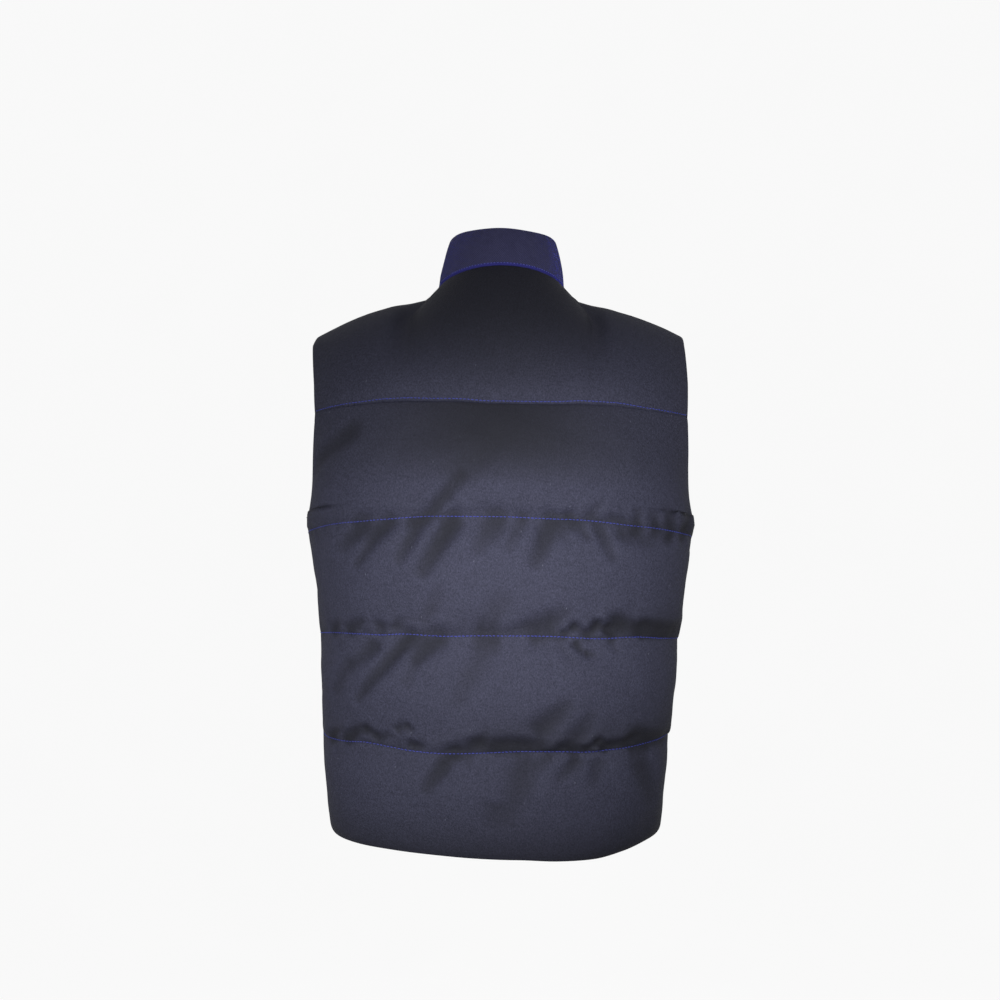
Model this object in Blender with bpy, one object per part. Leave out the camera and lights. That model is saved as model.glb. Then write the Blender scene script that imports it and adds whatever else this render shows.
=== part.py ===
"""A padded sleeveless jacket (gilet) with a stand collar, zipped up and filled out as it is worn.

Metres, +Z up. The front faces -Y, the wearer's right is at -X. The origin lies on the midline,
level with the underside of the shoulder seams, where the wearer's shoulders carry the garment.

The cloth is described by sections. Each panel is a set of rows from its hem to its shoulder:
level 0 is the hem, 1 to 3 are the three quilting lines, 4 is the yoke seam and 5 is the shoulder
seam with the neckline. Across a row, the share runs from 0 on the midline to 1 at the side seam
or, above the underarm, at the edge of the armhole.
"""

import math
from collections import namedtuple
from functools import lru_cache

import bmesh
import bpy
import numpy as np
from mathutils import Matrix, Vector

# ---------------------------------------------------------------- driving dimensions, in metres

HEM, LOW_QUILT, MID_QUILT, TOP_QUILT, YOKE, SHOULDER = range(6)
UNDERARM = 3.12
BACK, FRONT = 1, -1  # the side of the midplane that a panel lies on, as the sign of y

SEAM_GAP = 0.0003
LINING_OFFSET = 0.0012  # from the stitched surface in to the plain inside
SHELL_OFFSET = 0.0016  # from the stitched surface out to the shell, along a seam or a quilting line
ROUNDNESS = 2.35  # exponent of the superellipse that a section follows; 2 is an ellipse

# z_centre and depth are on the midline, half_width, edge_depth and z_edge at the row's end.
Section = namedtuple("Section", "level z_centre depth half_width edge_depth z_edge")
SECTIONS = {
    BACK: (
        Section(0.00, -0.5845, 0.1160, 0.1790, 0.000, -0.5545),
        Section(0.50, -0.5290, 0.1210, 0.1820, 0.000, -0.5020),
        Section(1.00, -0.4715, 0.1235, 0.1882, 0.000, -0.4495),
        Section(1.50, -0.4100, 0.1280, 0.1911, 0.000, -0.3990),
        Section(2.00, -0.3480, 0.1300, 0.1970, 0.000, -0.3480),
        Section(2.50, -0.2870, 0.1335, 0.2016, 0.000, -0.2900),
        Section(3.00, -0.2260, 0.1350, 0.2115, 0.000, -0.2335),
        Section(UNDERARM, -0.2120, 0.1350, 0.2112, 0.000, -0.2200),
        Section(3.14, -0.2100, 0.1350, 0.2095, 0.011, -0.2180),
        Section(3.22, -0.1990, 0.1345, 0.2068, 0.025, -0.2065),
        Section(3.42, -0.1740, 0.1335, 0.2038, 0.043, -0.1780),
        Section(3.70, -0.1400, 0.1315, 0.2033, 0.054, -0.1420),
        Section(4.00, -0.1035, 0.1285, 0.2030, 0.059, -0.1050),
    ),
    FRONT: (
        Section(0.00, -0.5740, 0.1240, 0.1790, 0.000, -0.5545),
        Section(0.50, -0.5190, 0.1290, 0.1820, 0.000, -0.5020),
        Section(1.00, -0.4620, 0.1300, 0.1882, 0.000, -0.4495),
        Section(1.50, -0.4055, 0.1325, 0.1911, 0.000, -0.3990),
        Section(2.00, -0.3485, 0.1320, 0.1970, 0.000, -0.3480),
        Section(2.50, -0.2910, 0.1335, 0.2016, 0.000, -0.2900),
        Section(3.00, -0.2330, 0.1325, 0.2115, 0.000, -0.2335),
        Section(UNDERARM, -0.2190, 0.1320, 0.2112, 0.000, -0.2200),
        Section(3.14, -0.2170, 0.1320, 0.2090, 0.013, -0.2180),
        Section(3.22, -0.2060, 0.1315, 0.2040, 0.029, -0.2065),
        Section(3.42, -0.1800, 0.1300, 0.1975, 0.047, -0.1780),
        Section(3.70, -0.1440, 0.1265, 0.1935, 0.058, -0.1420),
        Section(4.00, -0.1080, 0.1210, 0.1925, 0.063, -0.1050),
    ),
}

NECK_HALF_WIDTH = 0.0690
NECK_POINT_Z = 0.0390
# The neckline on the midline, its share of a panel's top row, how steeply the cloth meets it, as
# the sine of the slope, and how steeply the ends of the walls face there, as a rise over a run.
Neckline = namedtuple("Neckline", "depth z_centre share climb rise")
NECKLINES = {
    BACK: Neckline(0.078, 0.0525, 0.42, 0.86, 0.36),
    FRONT: Neckline(0.088, -0.022, 0.48, 0.91, 0.18),
}
NECK_POINT_CLIMB, NECK_POINT_RISE = 0.35, 0.55
NECK_POINT_TURN = math.radians(50)  # plan angle at which the cloth meets the neck point
NECK_FLARE = 0.35  # share of the shoulder seam over which that direction fades
NECK_DROP_CURVE = 1.4

# The shoulder seam, from the neck point out to the shoulder tip.
ShoulderPoint = namedtuple("ShoulderPoint", "x y z")
SHOULDER_SEAM = (
    ShoulderPoint(NECK_HALF_WIDTH, 0.000, NECK_POINT_Z),
    ShoulderPoint(0.0780, 0.000, 0.0315),
    ShoulderPoint(0.0970, -0.001, 0.0240),
    ShoulderPoint(0.1250, -0.002, 0.0165),
    ShoulderPoint(0.1470, -0.003, 0.0105),
    ShoulderPoint(0.1790, -0.004, -0.0015),
    ShoulderPoint(0.2045, -0.005, -0.0140),
)

# Worn a little askew: the midline leans, and each row hangs higher on one side, by its skew.
LEAN_PER_METRE = 0.0115
SKEW_BY_LEVEL = (0.0045, 0.0000, 0.0030, 0.0030, 0.0020)
SHOULDER_SKEW = 0.0016  # midway along the shoulders

# The padding of each band between two levels: how proud it stands, and where in its height.
Band = namedtuple("Band", "level puff_back puff_front peak")
BANDS = (
    Band(HEM, 0.0062, 0.0062, 0.55),
    Band(LOW_QUILT, 0.0078, 0.0076, 0.42),
    Band(MID_QUILT, 0.0078, 0.0076, 0.42),
    Band(TOP_QUILT, 0.0072, 0.0070, 0.36),
    Band(YOKE, 0.0030, 0.0030, 0.35),
)
PUFF_SHARPNESS = 0.66  # below 1, the shell falls steeply into the quilting lines
SIDE_FADE = 0.115  # width over which the padding thins towards a side seam or an armhole
FRONT_EDGE_FADE = 0.030  # width over which it thins towards the zip
THINNEST = 0.14  # share of the padding that is left there

COLLAR_TOP_HALF_WIDTH = 0.0600
COLLAR_TOP_DEPTH = {BACK: 0.062, FRONT: 0.080}
COLLAR_TOP_Z = {BACK: 0.0985, FRONT: 0.040}
COLLAR_SIDE_TOP_Z = 0.0915
COLLAR_SKEW = 0.0018  # one side of the top edge stands higher
COLLAR_BULGE = 0.0020
COLLAR_HALF_WALL = 0.0021
COLLAR_EDGE_ROUND = 0.0016

FRONT_EDGE_X = 0.0055  # from the midline to a front's edge, beside the zip
CHAIN_EDGE_X = 0.0028
CHAIN_PROUD = 0.0011  # the chain stands this far out of the tape
CHAIN_GAP = 0.00015  # from the midline to each half of the closed chain
TAPE_EDGE_X = 0.0150
TAPE_THICKNESS = 0.0008
ZIP_IN_COLLAR = 0.0006  # the tapes lie this much deeper behind the curved collar
ZIP_END = 5.93  # heights along the zip are in levels; 5 is the neckline and 6 the collar's top
SLIDER_AT = 5.72
CHAIN_STARTS, CHAIN_ENDS = 0.11, SLIDER_AT - 0.01
PARTS_OVER = (SLIDER_AT - 0.03, SLIDER_AT + 0.025)  # where the tapes part round the slider's bridge
BOX_AT = 0.055
BOX_WIDTH, BOX_HEIGHT, BOX_THICKNESS = 0.0076, 0.0100, 0.0020
SLIDER_WIDTH, SLIDER_LENGTH, PLATE_THICKNESS = 0.0088, 0.0105, 0.0011
SLIDER_CLEARANCE = 0.0004
BRIDGE_WIDTH, BRIDGE_LENGTH = 0.0026, 0.0026
LUG_X, LUG_THICKNESS, LUG_LENGTH = 0.0019, 0.0010, 0.0032
PIN_RADIUS, PIN_STANDOFF, PIN_BELOW_CENTRE = 0.0007, 0.0020, 0.0008
TAB_EYE_RADIUS, TAB_EYE_WIDTH = 0.0017, 0.0022
TAB_WIDTH, TAB_LENGTH, TAB_THICKNESS = 0.0052, 0.0240, 0.0014
TAB_NECK = 0.0042  # from the pin's axis to where the tab is at its full width
TAB_SLOT_LENGTH, TAB_SLOT_WIDTH = 0.0080, 0.0020
TAB_LEAN = math.radians(4)  # at rest the tab's end leans in towards the chain
PIN_CLEARANCE = 0.0003

SHARE_STEP, LEVEL_STEP = 0.002, 0.004  # steps of the numerical tangents
LEVEL_HEIGHT = 0.122  # the height of most bands
NECK_COLUMNS, SHOULDER_COLUMNS = 8, 8  # columns of a half panel that end on each
BAND_STEPS = (0.0, 0.04, 0.12, 0.26, 0.42, 0.58, 0.74, 0.88, 0.96)  # rows within a band
ARMHOLE_STEPS = (0.0, 0.04, 0.12, 0.14, 0.20, 0.30, 0.46, 0.64, 0.82, 0.95)
YOKE_STEPS = (0.0012, 0.04, 0.13, 0.27, 0.41, 0.55, 0.69, 0.82, 0.93, 0.9985)


# ---------------------------------------------------------------- the worn form


def smooth_through(xs, ys):
    """A smooth function through the points (xs, ys) that doesn't overshoot them."""
    xs, ys = np.array(xs, float), np.array(ys, float)
    slope = np.diff(ys) / np.diff(xs)
    left, right = slope[:-1], slope[1:]
    total = np.where(left + right == 0, 1.0, left + right)
    inner = np.where(left * right > 0, 2 * left * right / total, 0.0)
    tangent = np.concatenate([slope[:1], inner, slope[-1:]])

    def value(x):
        i = int(np.clip(np.searchsorted(xs, x) - 1, 0, len(xs) - 2))
        width = xs[i + 1] - xs[i]
        t = min(max((x - xs[i]) / width, 0.0), 1.0)
        start = (1 + 2 * t) * (1 - t) ** 2 * ys[i] + t * (1 - t) ** 2 * width * tangent[i]
        end = t * t * (3 - 2 * t) * ys[i + 1] + t * t * (t - 1) * width * tangent[i + 1]
        return float(start + end)

    return value


SECTION_AT = {
    side: {
        field: smooth_through([s.level for s in rows], [getattr(s, field) for s in rows])
        for field in Section._fields[1:]
    }
    for side, rows in SECTIONS.items()
}


SKEW_AT = smooth_through(range(YOKE + 1), SKEW_BY_LEVEL)


def shoulder_curves():
    """x, y and z of the shoulder seam against the share of its length, from the neck point."""
    points = [Vector(p) for p in SHOULDER_SEAM]
    lengths = [0.0]
    for a, b in zip(points, points[1:]):
        lengths.append(lengths[-1] + (b - a).length)
    shares = [length / lengths[-1] for length in lengths]
    return [smooth_through(shares, [p[axis] for p in points]) for axis in range(3)]


SHOULDER_AT = shoulder_curves()


def ease(t):
    """A smooth step from 0 to 1 while t goes from 0 to 1."""
    t = min(max(t, 0.0), 1.0)
    return t * t * (3 - 2 * t)


@lru_cache(maxsize=None)
def half_section(side, level):
    """Half of a row up to the yoke seam: shares of its length, x, y, and the length in metres."""
    at = SECTION_AT[side]
    depth = at["depth"](level)
    end = math.acos((at["edge_depth"](level) / depth) ** (ROUNDNESS / 2))
    angle = np.linspace(0, end, 181)
    x = np.sin(angle) ** (2 / ROUNDNESS)
    x *= at["half_width"](level) / x[-1]
    y = depth * np.abs(np.cos(angle)) ** (2 / ROUNDNESS)
    length = np.concatenate([[0], np.cumsum(np.hypot(np.diff(x), np.diff(y)))])
    return length / length[-1], x, y, float(length[-1])


def half_length(side, level):
    return half_section(side, round(min(level, YOKE), 5))[3]


def body_point(side, share, level):
    """A point of the stitched surface from the hem to the yoke seam, before the lean."""
    shares, xs, ys, _ = half_section(side, round(level, 5))
    at = SECTION_AT[side]
    s = abs(share)
    z = at["z_centre"](level) + (at["z_edge"](level) - at["z_centre"](level)) * s * s
    z += SKEW_AT(level) * math.sin(2.2 * share)
    x = math.copysign(float(np.interp(s, shares, xs)), share)
    return Vector((x, side * float(np.interp(s, shares, ys)), z))


def neckline_point(side, share_of_neck):
    """A point of the neckline: 0 is the midline and 1 the neck point."""
    neck = NECKLINES[side]
    angle = share_of_neck * math.pi / 2
    drop = math.cos(angle) ** NECK_DROP_CURVE
    z = NECK_POINT_Z + (neck.z_centre - NECK_POINT_Z) * drop
    return Vector((NECK_HALF_WIDTH * math.sin(angle), side * neck.depth * math.cos(angle), z))


def top_point(side, share):
    """A point of a panel's top row: the neckline and then the shoulder seam."""
    neck_share = NECKLINES[side].share
    s = abs(share)
    if s <= neck_share:
        point = neckline_point(side, s / neck_share)
    else:
        out = (s - neck_share) / (1 - neck_share)
        point = Vector([curve(out) for curve in SHOULDER_AT])
        point.z += math.copysign(SHOULDER_SKEW * math.sin(math.pi * out), share)
    point.x = math.copysign(point.x, share)
    return point


def top_direction(side, share):
    """The way in which the cloth reaches its top row: up the neck, or over the shoulder."""
    neck = NECKLINES[side]
    along = min(abs(share) / neck.share, 1.0)
    near_neck = 1 - ease((abs(share) - neck.share) / (1 - neck.share) / NECK_FLARE)
    climb = (neck.climb + (NECK_POINT_CLIMB - neck.climb) * ease(along)) * near_neck
    turn = math.copysign(NECK_POINT_TURN * along * near_neck, share)
    inward = math.sqrt(1 - climb * climb)
    return Vector((-math.sin(turn) * inward, -side * math.cos(turn) * inward, climb))


def yoke_point(side, share, level):
    """A point above the yoke seam, on a smooth curve from that seam to the top row."""
    start, end = body_point(side, share, YOKE), top_point(side, share)
    below = body_point(side, share, YOKE - LEVEL_STEP)
    chord = (end - start).length
    over = ease(abs(share) / NECKLINES[side].share)
    leave = (start - below).normalized() * chord * (0.95 + 0.20 * over)
    arrive = top_direction(side, share) * chord * (0.70 + 0.45 * over)
    t = level - YOKE
    return (
        start * (1 + 2 * t) * (1 - t) ** 2
        + leave * t * (1 - t) ** 2
        + end * t * t * (3 - 2 * t)
        + arrive * t * t * (t - 1)
    )


def lean(point):
    return point + Vector((-LEAN_PER_METRE * point.z, 0, 0))


def cloth_point(side, share, level):
    """A point of the stitched surface of a front or of the back, as worn."""
    make = body_point if level <= YOKE else yoke_point
    return lean(make(side, share, level))


def cloth_normal(side, share, level):
    """The outward normal of the stitched surface."""
    left, right = max(share - SHARE_STEP, -1), min(share + SHARE_STEP, 1)
    low, high = max(level - LEVEL_STEP, HEM), min(level + LEVEL_STEP, SHOULDER)
    across = cloth_point(side, right, level) - cloth_point(side, left, level)
    up = cloth_point(side, share, high) - cloth_point(side, share, low)
    return across.cross(up).normalized() * -side


# ---------------------------------------------------------------- the stand collar


def collar_row(side, share_of_neck, height):
    """A point of the collar's middle surface, before the lean; the share is positive at +X."""
    base = neckline_point(side, abs(share_of_neck))
    base.x = math.copysign(base.x, share_of_neck)
    angle = share_of_neck * math.pi / 2
    drop = math.cos(angle) ** NECK_DROP_CURVE
    top = Vector(
        (
            COLLAR_TOP_HALF_WIDTH * math.sin(angle),
            side * COLLAR_TOP_DEPTH[side] * math.cos(angle),
            COLLAR_SIDE_TOP_Z + (COLLAR_TOP_Z[side] - COLLAR_SIDE_TOP_Z) * drop,
        )
    )
    top.z += COLLAR_SKEW * math.sin(angle)
    outward = Vector((math.sin(angle), side * math.cos(angle), 0))
    return base.lerp(top, height) + outward * COLLAR_BULGE * math.sin(math.pi * height)


def collar_point(turn, height):
    """turn runs from -2 at the front edge on the +X side, by 0 at the nape, to 2 on the other."""
    side = BACK if abs(turn) <= 1 else FRONT
    share_of_neck = abs(turn) if side == BACK else 2 - abs(turn)
    return lean(collar_row(side, math.copysign(share_of_neck, -turn), height))


def collar_normal(turn, height):
    low, high = max(height - 0.02, 0), min(height + 0.02, 1)
    before, after = max(turn - 0.01, -2), min(turn + 0.01, 2)
    round_it = collar_point(after, height) - collar_point(before, height)
    up = collar_point(turn, high) - collar_point(turn, low)
    return round_it.cross(up).normalized()


def neck_seam_normal(turn):
    """The direction shared by the wall ends of the collar and of the panel that it is sewn to."""
    side = BACK if abs(turn) <= 1 else FRONT
    share_of_neck = abs(turn) if side == BACK else 2 - abs(turn)
    angle = share_of_neck * math.pi / 2
    drop = math.cos(angle) ** NECK_DROP_CURVE
    rise = NECK_POINT_RISE + (NECKLINES[side].rise - NECK_POINT_RISE) * drop
    across = math.copysign(math.sin(angle), -turn)
    return Vector((across, side * math.cos(angle), rise)).normalized()


# ---------------------------------------------------------------- padding and folds

# A fold is a soft trough from one place on a panel to another; width and depth are in metres.
Fold = namedtuple("Fold", "side share level share_end level_end width depth")
FOLDS = (
    Fold(BACK, 0.68, 3.89, 0.89, 3.65, 0.010, 0.0020),
    Fold(BACK, -0.02, 3.63, 0.24, 3.03, 0.015, 0.0030),
    Fold(BACK, 0.42, 2.99, 0.54, 2.63, 0.009, 0.0024),
    Fold(BACK, 0.15, 2.97, 0.27, 2.55, 0.010, 0.0032),
    Fold(BACK, -0.21, 2.95, -0.09, 2.45, 0.009, 0.0020),
    Fold(BACK, -0.41, 1.99, -0.41, 2.22, 0.012, 0.0030),
    Fold(BACK, 0.34, 1.99, 0.57, 1.47, 0.010, 0.0026),
    Fold(BACK, 0.25, 1.99, 0.34, 1.65, 0.009, 0.0020),
    Fold(BACK, 0.18, 0.99, 0.30, 0.67, 0.010, 0.0028),
    Fold(BACK, -0.12, 0.65, -0.02, 0.35, 0.018, 0.0026),
    Fold(FRONT, 0.46, 3.05, 0.74, 3.42, 0.014, 0.0028),
    Fold(FRONT, -0.40, 3.04, -0.70, 3.38, 0.013, 0.0026),
    Fold(FRONT, 0.62, 2.96, 0.48, 2.52, 0.010, 0.0024),
    Fold(FRONT, -0.34, 2.97, -0.50, 2.56, 0.011, 0.0026),
    Fold(FRONT, 0.30, 1.98, 0.44, 1.60, 0.010, 0.0024),
    Fold(FRONT, -0.58, 1.97, -0.46, 1.55, 0.011, 0.0022),
    Fold(FRONT, 0.52, 0.98, 0.40, 0.66, 0.010, 0.0024),
    Fold(FRONT, -0.28, 0.98, -0.38, 0.70, 0.010, 0.0022),
)


def fold_depth(side, share, level):
    """How deep the folds lie at a place."""
    reach = half_length(side, level)
    deep = 0.0
    for fold in FOLDS:
        if fold.side != side:
            continue
        start = Vector((fold.share * reach, fold.level * LEVEL_HEIGHT))
        run = Vector((fold.share_end * reach, fold.level_end * LEVEL_HEIGHT)) - start
        here = Vector((share * reach, level * LEVEL_HEIGHT)) - start
        t = min(max(here.dot(run) / run.length_squared, 0.0), 1.0)
        away = (here - run * t).length / fold.width
        deep += fold.depth * (1 - 0.75 * t) * math.exp(-away * away)
    return deep


def puff(side, share, level):
    """How far the shell stands outside its stitched level."""
    band = BANDS[min(int(level), YOKE)]
    tau = min(max(level - band.level, 0.0), 1.0)
    skewed = tau ** (math.log(0.5) / math.log(band.peak))
    height = band.puff_back if side == BACK else band.puff_front
    swell = height * max(4 * skewed * (1 - skewed), 0.0) ** PUFF_SHARPNESS
    reach = half_length(side, level)
    full = ease((1 - abs(share)) * reach / SIDE_FADE)
    if side == FRONT:
        full *= ease((abs(share) * reach - FRONT_EDGE_X) / FRONT_EDGE_FADE)
    swell *= THINNEST + (1 - THINNEST) * full
    return max(swell - fold_depth(side, share, level) * min(1.0, swell / 0.004), 0.0)


# ---------------------------------------------------------------- solids


def material(name, colour, roughness, metallic=0.0):
    made = bpy.data.materials.new(name)
    made.use_nodes = True
    shader = made.node_tree.nodes["Principled BSDF"]
    shader.inputs["Base Color"].default_value = (*colour, 1.0)
    shader.inputs["Roughness"].default_value = roughness
    shader.inputs["Metallic"].default_value = metallic
    return made


def finish(bm, name, finish_material, sharp_degrees=40):
    mesh = bpy.data.meshes.new(name)
    bmesh.ops.recalc_face_normals(bm, faces=bm.faces)
    if bm.calc_volume(signed=True) < 0:
        bmesh.ops.reverse_faces(bm, faces=bm.faces)
    bm.to_mesh(mesh)
    bm.free()
    mesh.shade_smooth()
    mesh.set_sharp_from_angle(angle=math.radians(sharp_degrees))
    mesh.materials.append(finish_material)
    made = bpy.data.objects.new(name, mesh)
    bpy.context.scene.collection.objects.link(made)
    return made


def wall(name, across, up, inner, outer, cloth):
    """A closed cloth wall: a grid extruded to two layers, bent to the inner and outer points."""
    bm = bmesh.new()
    columns, rows = len(across) - 1, len(up) - 1
    bmesh.ops.create_grid(bm, x_segments=columns, y_segments=rows, size=0.5)
    raised = bmesh.ops.extrude_face_region(bm, geom=bm.faces[:])
    outer_layer = [v for v in raised["geom"] if isinstance(v, bmesh.types.BMVert)]
    bmesh.ops.translate(bm, verts=outer_layer, vec=(0, 0, 1))
    for vertex in bm.verts:
        place = (across[round((vertex.co.x + 0.5) * columns)], up[round((vertex.co.y + 0.5) * rows)])
        vertex.co = outer(*place) if vertex.co.z > 0.5 else inner(*place)
    return finish(bm, name, cloth)


def even(start, end, count):
    return [start + (end - start) * i / count for i in range(count + 1)]


def back_columns():
    neck = NECKLINES[BACK].share
    half = even(0, neck, NECK_COLUMNS) + even(neck, 1, SHOULDER_COLUMNS)[1:]
    return [-share for share in reversed(half[1:])] + half


def front_neck_shares():
    """The shares of a front's top row, from the zip to the neck point."""
    neck = NECKLINES[FRONT].share
    return even(share_at(FRONT, FRONT_EDGE_X, SHOULDER), neck, NECK_COLUMNS)


def front_columns():
    """The columns of a front, from 0 at its edge beside the zip to 1 at its other edge."""
    shares = front_neck_shares()
    shares += even(shares[-1], 1, SHOULDER_COLUMNS)[1:]
    return [(share - shares[0]) / (1 - shares[0]) for share in shares]


def collar_turns():
    """The collar's columns, which meet those of the fronts and of the yoke."""
    front = [2 - share / NECKLINES[FRONT].share for share in front_neck_shares()[:-1]]
    return [-turn for turn in front] + even(-1, 1, 2 * NECK_COLUMNS) + front[::-1]


def band_levels(first, last):
    """The rows of a panel, closer together beside each seam or quilting line."""
    rows = []
    for band in range(first, last):
        steps = ARMHOLE_STEPS if band == TOP_QUILT else BAND_STEPS
        rows += [band + step for step in steps]
    gap = SEAM_GAP / 2 / LEVEL_HEIGHT
    rows[0] += gap if first else 0.0
    return rows + [last - gap]


def share_at(side, x, level):
    """The share of a row that lies at a distance x from the midline, which is small."""
    share = x / half_length(side, level)
    for _ in range(4):
        point = cloth_point(side, share, level)
        share *= x / (point.x - lean(Vector((0, 0, point.z))).x)
    return share


def panel(name, side, shares, levels, cloth, hand=0):
    """The back, the yoke or, with a hand of 1 or -1, the front on the side of +X or -X."""

    def row_share(share, level):
        gap = SEAM_GAP / 2 / half_length(side, level)
        if hand:
            start = share_at(side, FRONT_EDGE_X, level)
            return hand * (start + share * (1 - gap - start))
        return share * (1 - gap)

    def on_neckline(share, level):
        return level > SHOULDER - 0.01 and abs(share) < NECKLINES[side].share + 0.001

    def normal_at(share, level):
        if not on_neckline(share, level):
            return cloth_normal(side, share, level)
        turn = min(abs(share) / NECKLINES[side].share, 1.0)
        return neck_seam_normal(math.copysign(turn if side == BACK else 2 - turn, -share))

    def inner(share, level):
        share = row_share(share, level)
        return cloth_point(side, share, level) - normal_at(share, level) * LINING_OFFSET

    def outer(share, level):
        share = row_share(share, level)
        proud = SHELL_OFFSET + puff(side, share, level)
        if on_neckline(share, level):
            proud = COLLAR_HALF_WALL
        return cloth_point(side, share, level) + normal_at(share, level) * proud

    return wall(name, shares, levels, inner, outer, cloth)


def collar(cloth):
    """The stand collar: one wall right round the neck, from one front edge to the other."""
    height = COLLAR_TOP_Z[BACK] - NECKLINES[BACK].z_centre
    heights = [SEAM_GAP / 2 / height, 0.10, 0.30, 0.52, 0.74, 0.90, 0.97, 1.0]

    def layer(sign):
        def point(turn, share):
            thin = COLLAR_EDGE_ROUND * max(0.0, (share - 0.90) / 0.10) ** 2
            direction = neck_seam_normal(turn) if share < 0.01 else collar_normal(turn, share)
            return collar_point(turn, share) + direction * sign * (COLLAR_HALF_WALL - thin)

        return point

    return wall("collar", collar_turns(), heights, layer(-1), layer(1), cloth)


# ---------------------------------------------------------------- the zip


def zip_place(x, height):
    """A place on the tapes' outer face and its outward normal."""
    if height <= SHOULDER:
        share = share_at(FRONT, x, height) if x else 0.0
        point, normal = cloth_point(FRONT, share, height), cloth_normal(FRONT, share, height)
    else:
        turn = math.copysign(2 - math.asin(abs(x) / NECK_HALF_WIDTH) * 2 / math.pi, -x or -1.0)
        point, normal = collar_point(turn, height - SHOULDER), collar_normal(turn, height - SHOULDER)
    blend = ease((height - SHOULDER + 0.20) / 0.20)
    inside = LINING_OFFSET + (COLLAR_HALF_WALL + ZIP_IN_COLLAR - LINING_OFFSET) * blend
    return point - normal * (inside + SEAM_GAP), normal


def zip_tape(name, hand, cloth):
    """One tape with its half of the chain, which stands proud along the midline."""
    across = [CHAIN_GAP, CHAIN_EDGE_X, CHAIN_EDGE_X + 0.0003, TAPE_EDGE_X]
    rows = [0.015, 0.10, CHAIN_STARTS + 0.005] + even(0.3, 4.9, 24) + even(5.0, 5.6, 4)
    rows += [PARTS_OVER[0], CHAIN_ENDS - 0.005, CHAIN_ENDS + 0.005, PARTS_OVER[1], 5.82, ZIP_END]

    def placed(x, height):
        along = (height - PARTS_OVER[0]) / (PARTS_OVER[1] - PARTS_OVER[0])
        opening = (BRIDGE_WIDTH / 2 + SLIDER_CLEARANCE) * min(max(along, 0.0), 1.0)
        return zip_place(hand * max(x, opening + (x - CHAIN_GAP) / 10), height)

    def inner(x, height):
        point, normal = placed(x, height)
        return point - normal * TAPE_THICKNESS

    def outer(x, height):
        point, normal = placed(x, height)
        on_chain = x < CHAIN_EDGE_X + 0.0001 and CHAIN_STARTS < height < CHAIN_ENDS
        return point + normal * (CHAIN_PROUD if on_chain else 0.0)

    return wall(name, across, rows, inner, outer, cloth)


def zip_frame(height):
    """A frame on the tapes' outer face: X across, Y up along the zip and Z out of the front."""
    point, out = zip_place(0.0, height)
    up = zip_place(0.0, height + 0.02)[0] - zip_place(0.0, height - 0.02)[0]
    out = (zip_place(0.001, height)[1] + zip_place(-0.001, height)[1]).normalized()
    up = (up - out * up.dot(out)).normalized()
    frame = Matrix((up.cross(out), up, out)).transposed().to_4x4()
    frame.translation = point
    return frame


def rounded_box(name, size, centre, radius, metal, hidden=False):
    """A box whose edges are rounded; its place is given in the frame of its object."""
    bm = bmesh.new()
    made = bmesh.ops.create_cube(bm, size=1.0)
    bmesh.ops.scale(bm, vec=size, verts=made["verts"])
    bmesh.ops.translate(bm, vec=centre, verts=made["verts"])
    bmesh.ops.bevel(bm, geom=bm.edges[:], offset=radius, segments=2, profile=0.5, affect="EDGES")
    box = finish(bm, name, metal)
    box.hide_render = hidden
    return box


def pin(name, radius, length, centre, metal, hidden=False):
    """A cylinder along X."""
    bm = bmesh.new()
    sizes = {"segments": 20, "radius1": radius, "radius2": radius, "depth": length}
    turned = Matrix.Translation(centre) @ Matrix.Rotation(math.pi / 2, 4, "Y")
    bmesh.ops.create_cone(bm, cap_ends=True, cap_tris=False, matrix=turned, **sizes)
    made = finish(bm, name, metal)
    made.hide_render = hidden
    return made


def combine(base, other, operation):
    cut = base.modifiers.new(f"{operation}_{other.name}", "BOOLEAN")
    cut.solver = "EXACT"
    cut.operation = operation
    cut.object = other


def zip_slider(frame, metal):
    """Two plates, one in front of the chain and one behind the tapes, and the bridge between."""
    front_in = CHAIN_PROUD + SLIDER_CLEARANCE
    front_out = front_in + PLATE_THICKNESS
    back_out = -TAPE_THICKNESS - SLIDER_CLEARANCE
    plate = (SLIDER_WIDTH, SLIDER_LENGTH, PLATE_THICKNESS)
    round_by = 0.0004
    slider = rounded_box("zip_slider", plate, (0, 0, (front_in + front_out) / 2), round_by, metal)
    behind = (0, 0, back_out - PLATE_THICKNESS / 2)
    bridge_size = (BRIDGE_WIDTH, BRIDGE_LENGTH, front_out - back_out)
    bridge_place = (0, (SLIDER_LENGTH - BRIDGE_LENGTH) / 2 - 0.0005, (front_out + back_out) / 2)
    helpers = [
        rounded_box("helper_plate", plate, behind, round_by, metal, hidden=True),
        rounded_box("helper_bridge", bridge_size, bridge_place, 0.0003, metal, hidden=True),
    ]
    axis_z = front_out + PIN_STANDOFF
    lug_top = axis_z + PIN_RADIUS + 0.0008
    lug_size = (LUG_THICKNESS, LUG_LENGTH, lug_top - front_in)
    for hand in (-1, 1):
        place = (hand * LUG_X, -PIN_BELOW_CENTRE, (lug_top + front_in) / 2)
        helpers.append(rounded_box(f"helper_lug_{hand}", lug_size, place, 0.0003, metal, hidden=True))
    pin_length = 2 * LUG_X + LUG_THICKNESS / 2
    pin_place = (0, -PIN_BELOW_CENTRE, axis_z)
    helpers.append(pin("helper_pin", PIN_RADIUS, pin_length, pin_place, metal, hidden=True))
    slider.matrix_world = frame
    for helper in helpers:
        helper.matrix_world = frame
        combine(slider, helper, "UNION")
    return frame @ Matrix.Translation(pin_place)


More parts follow.
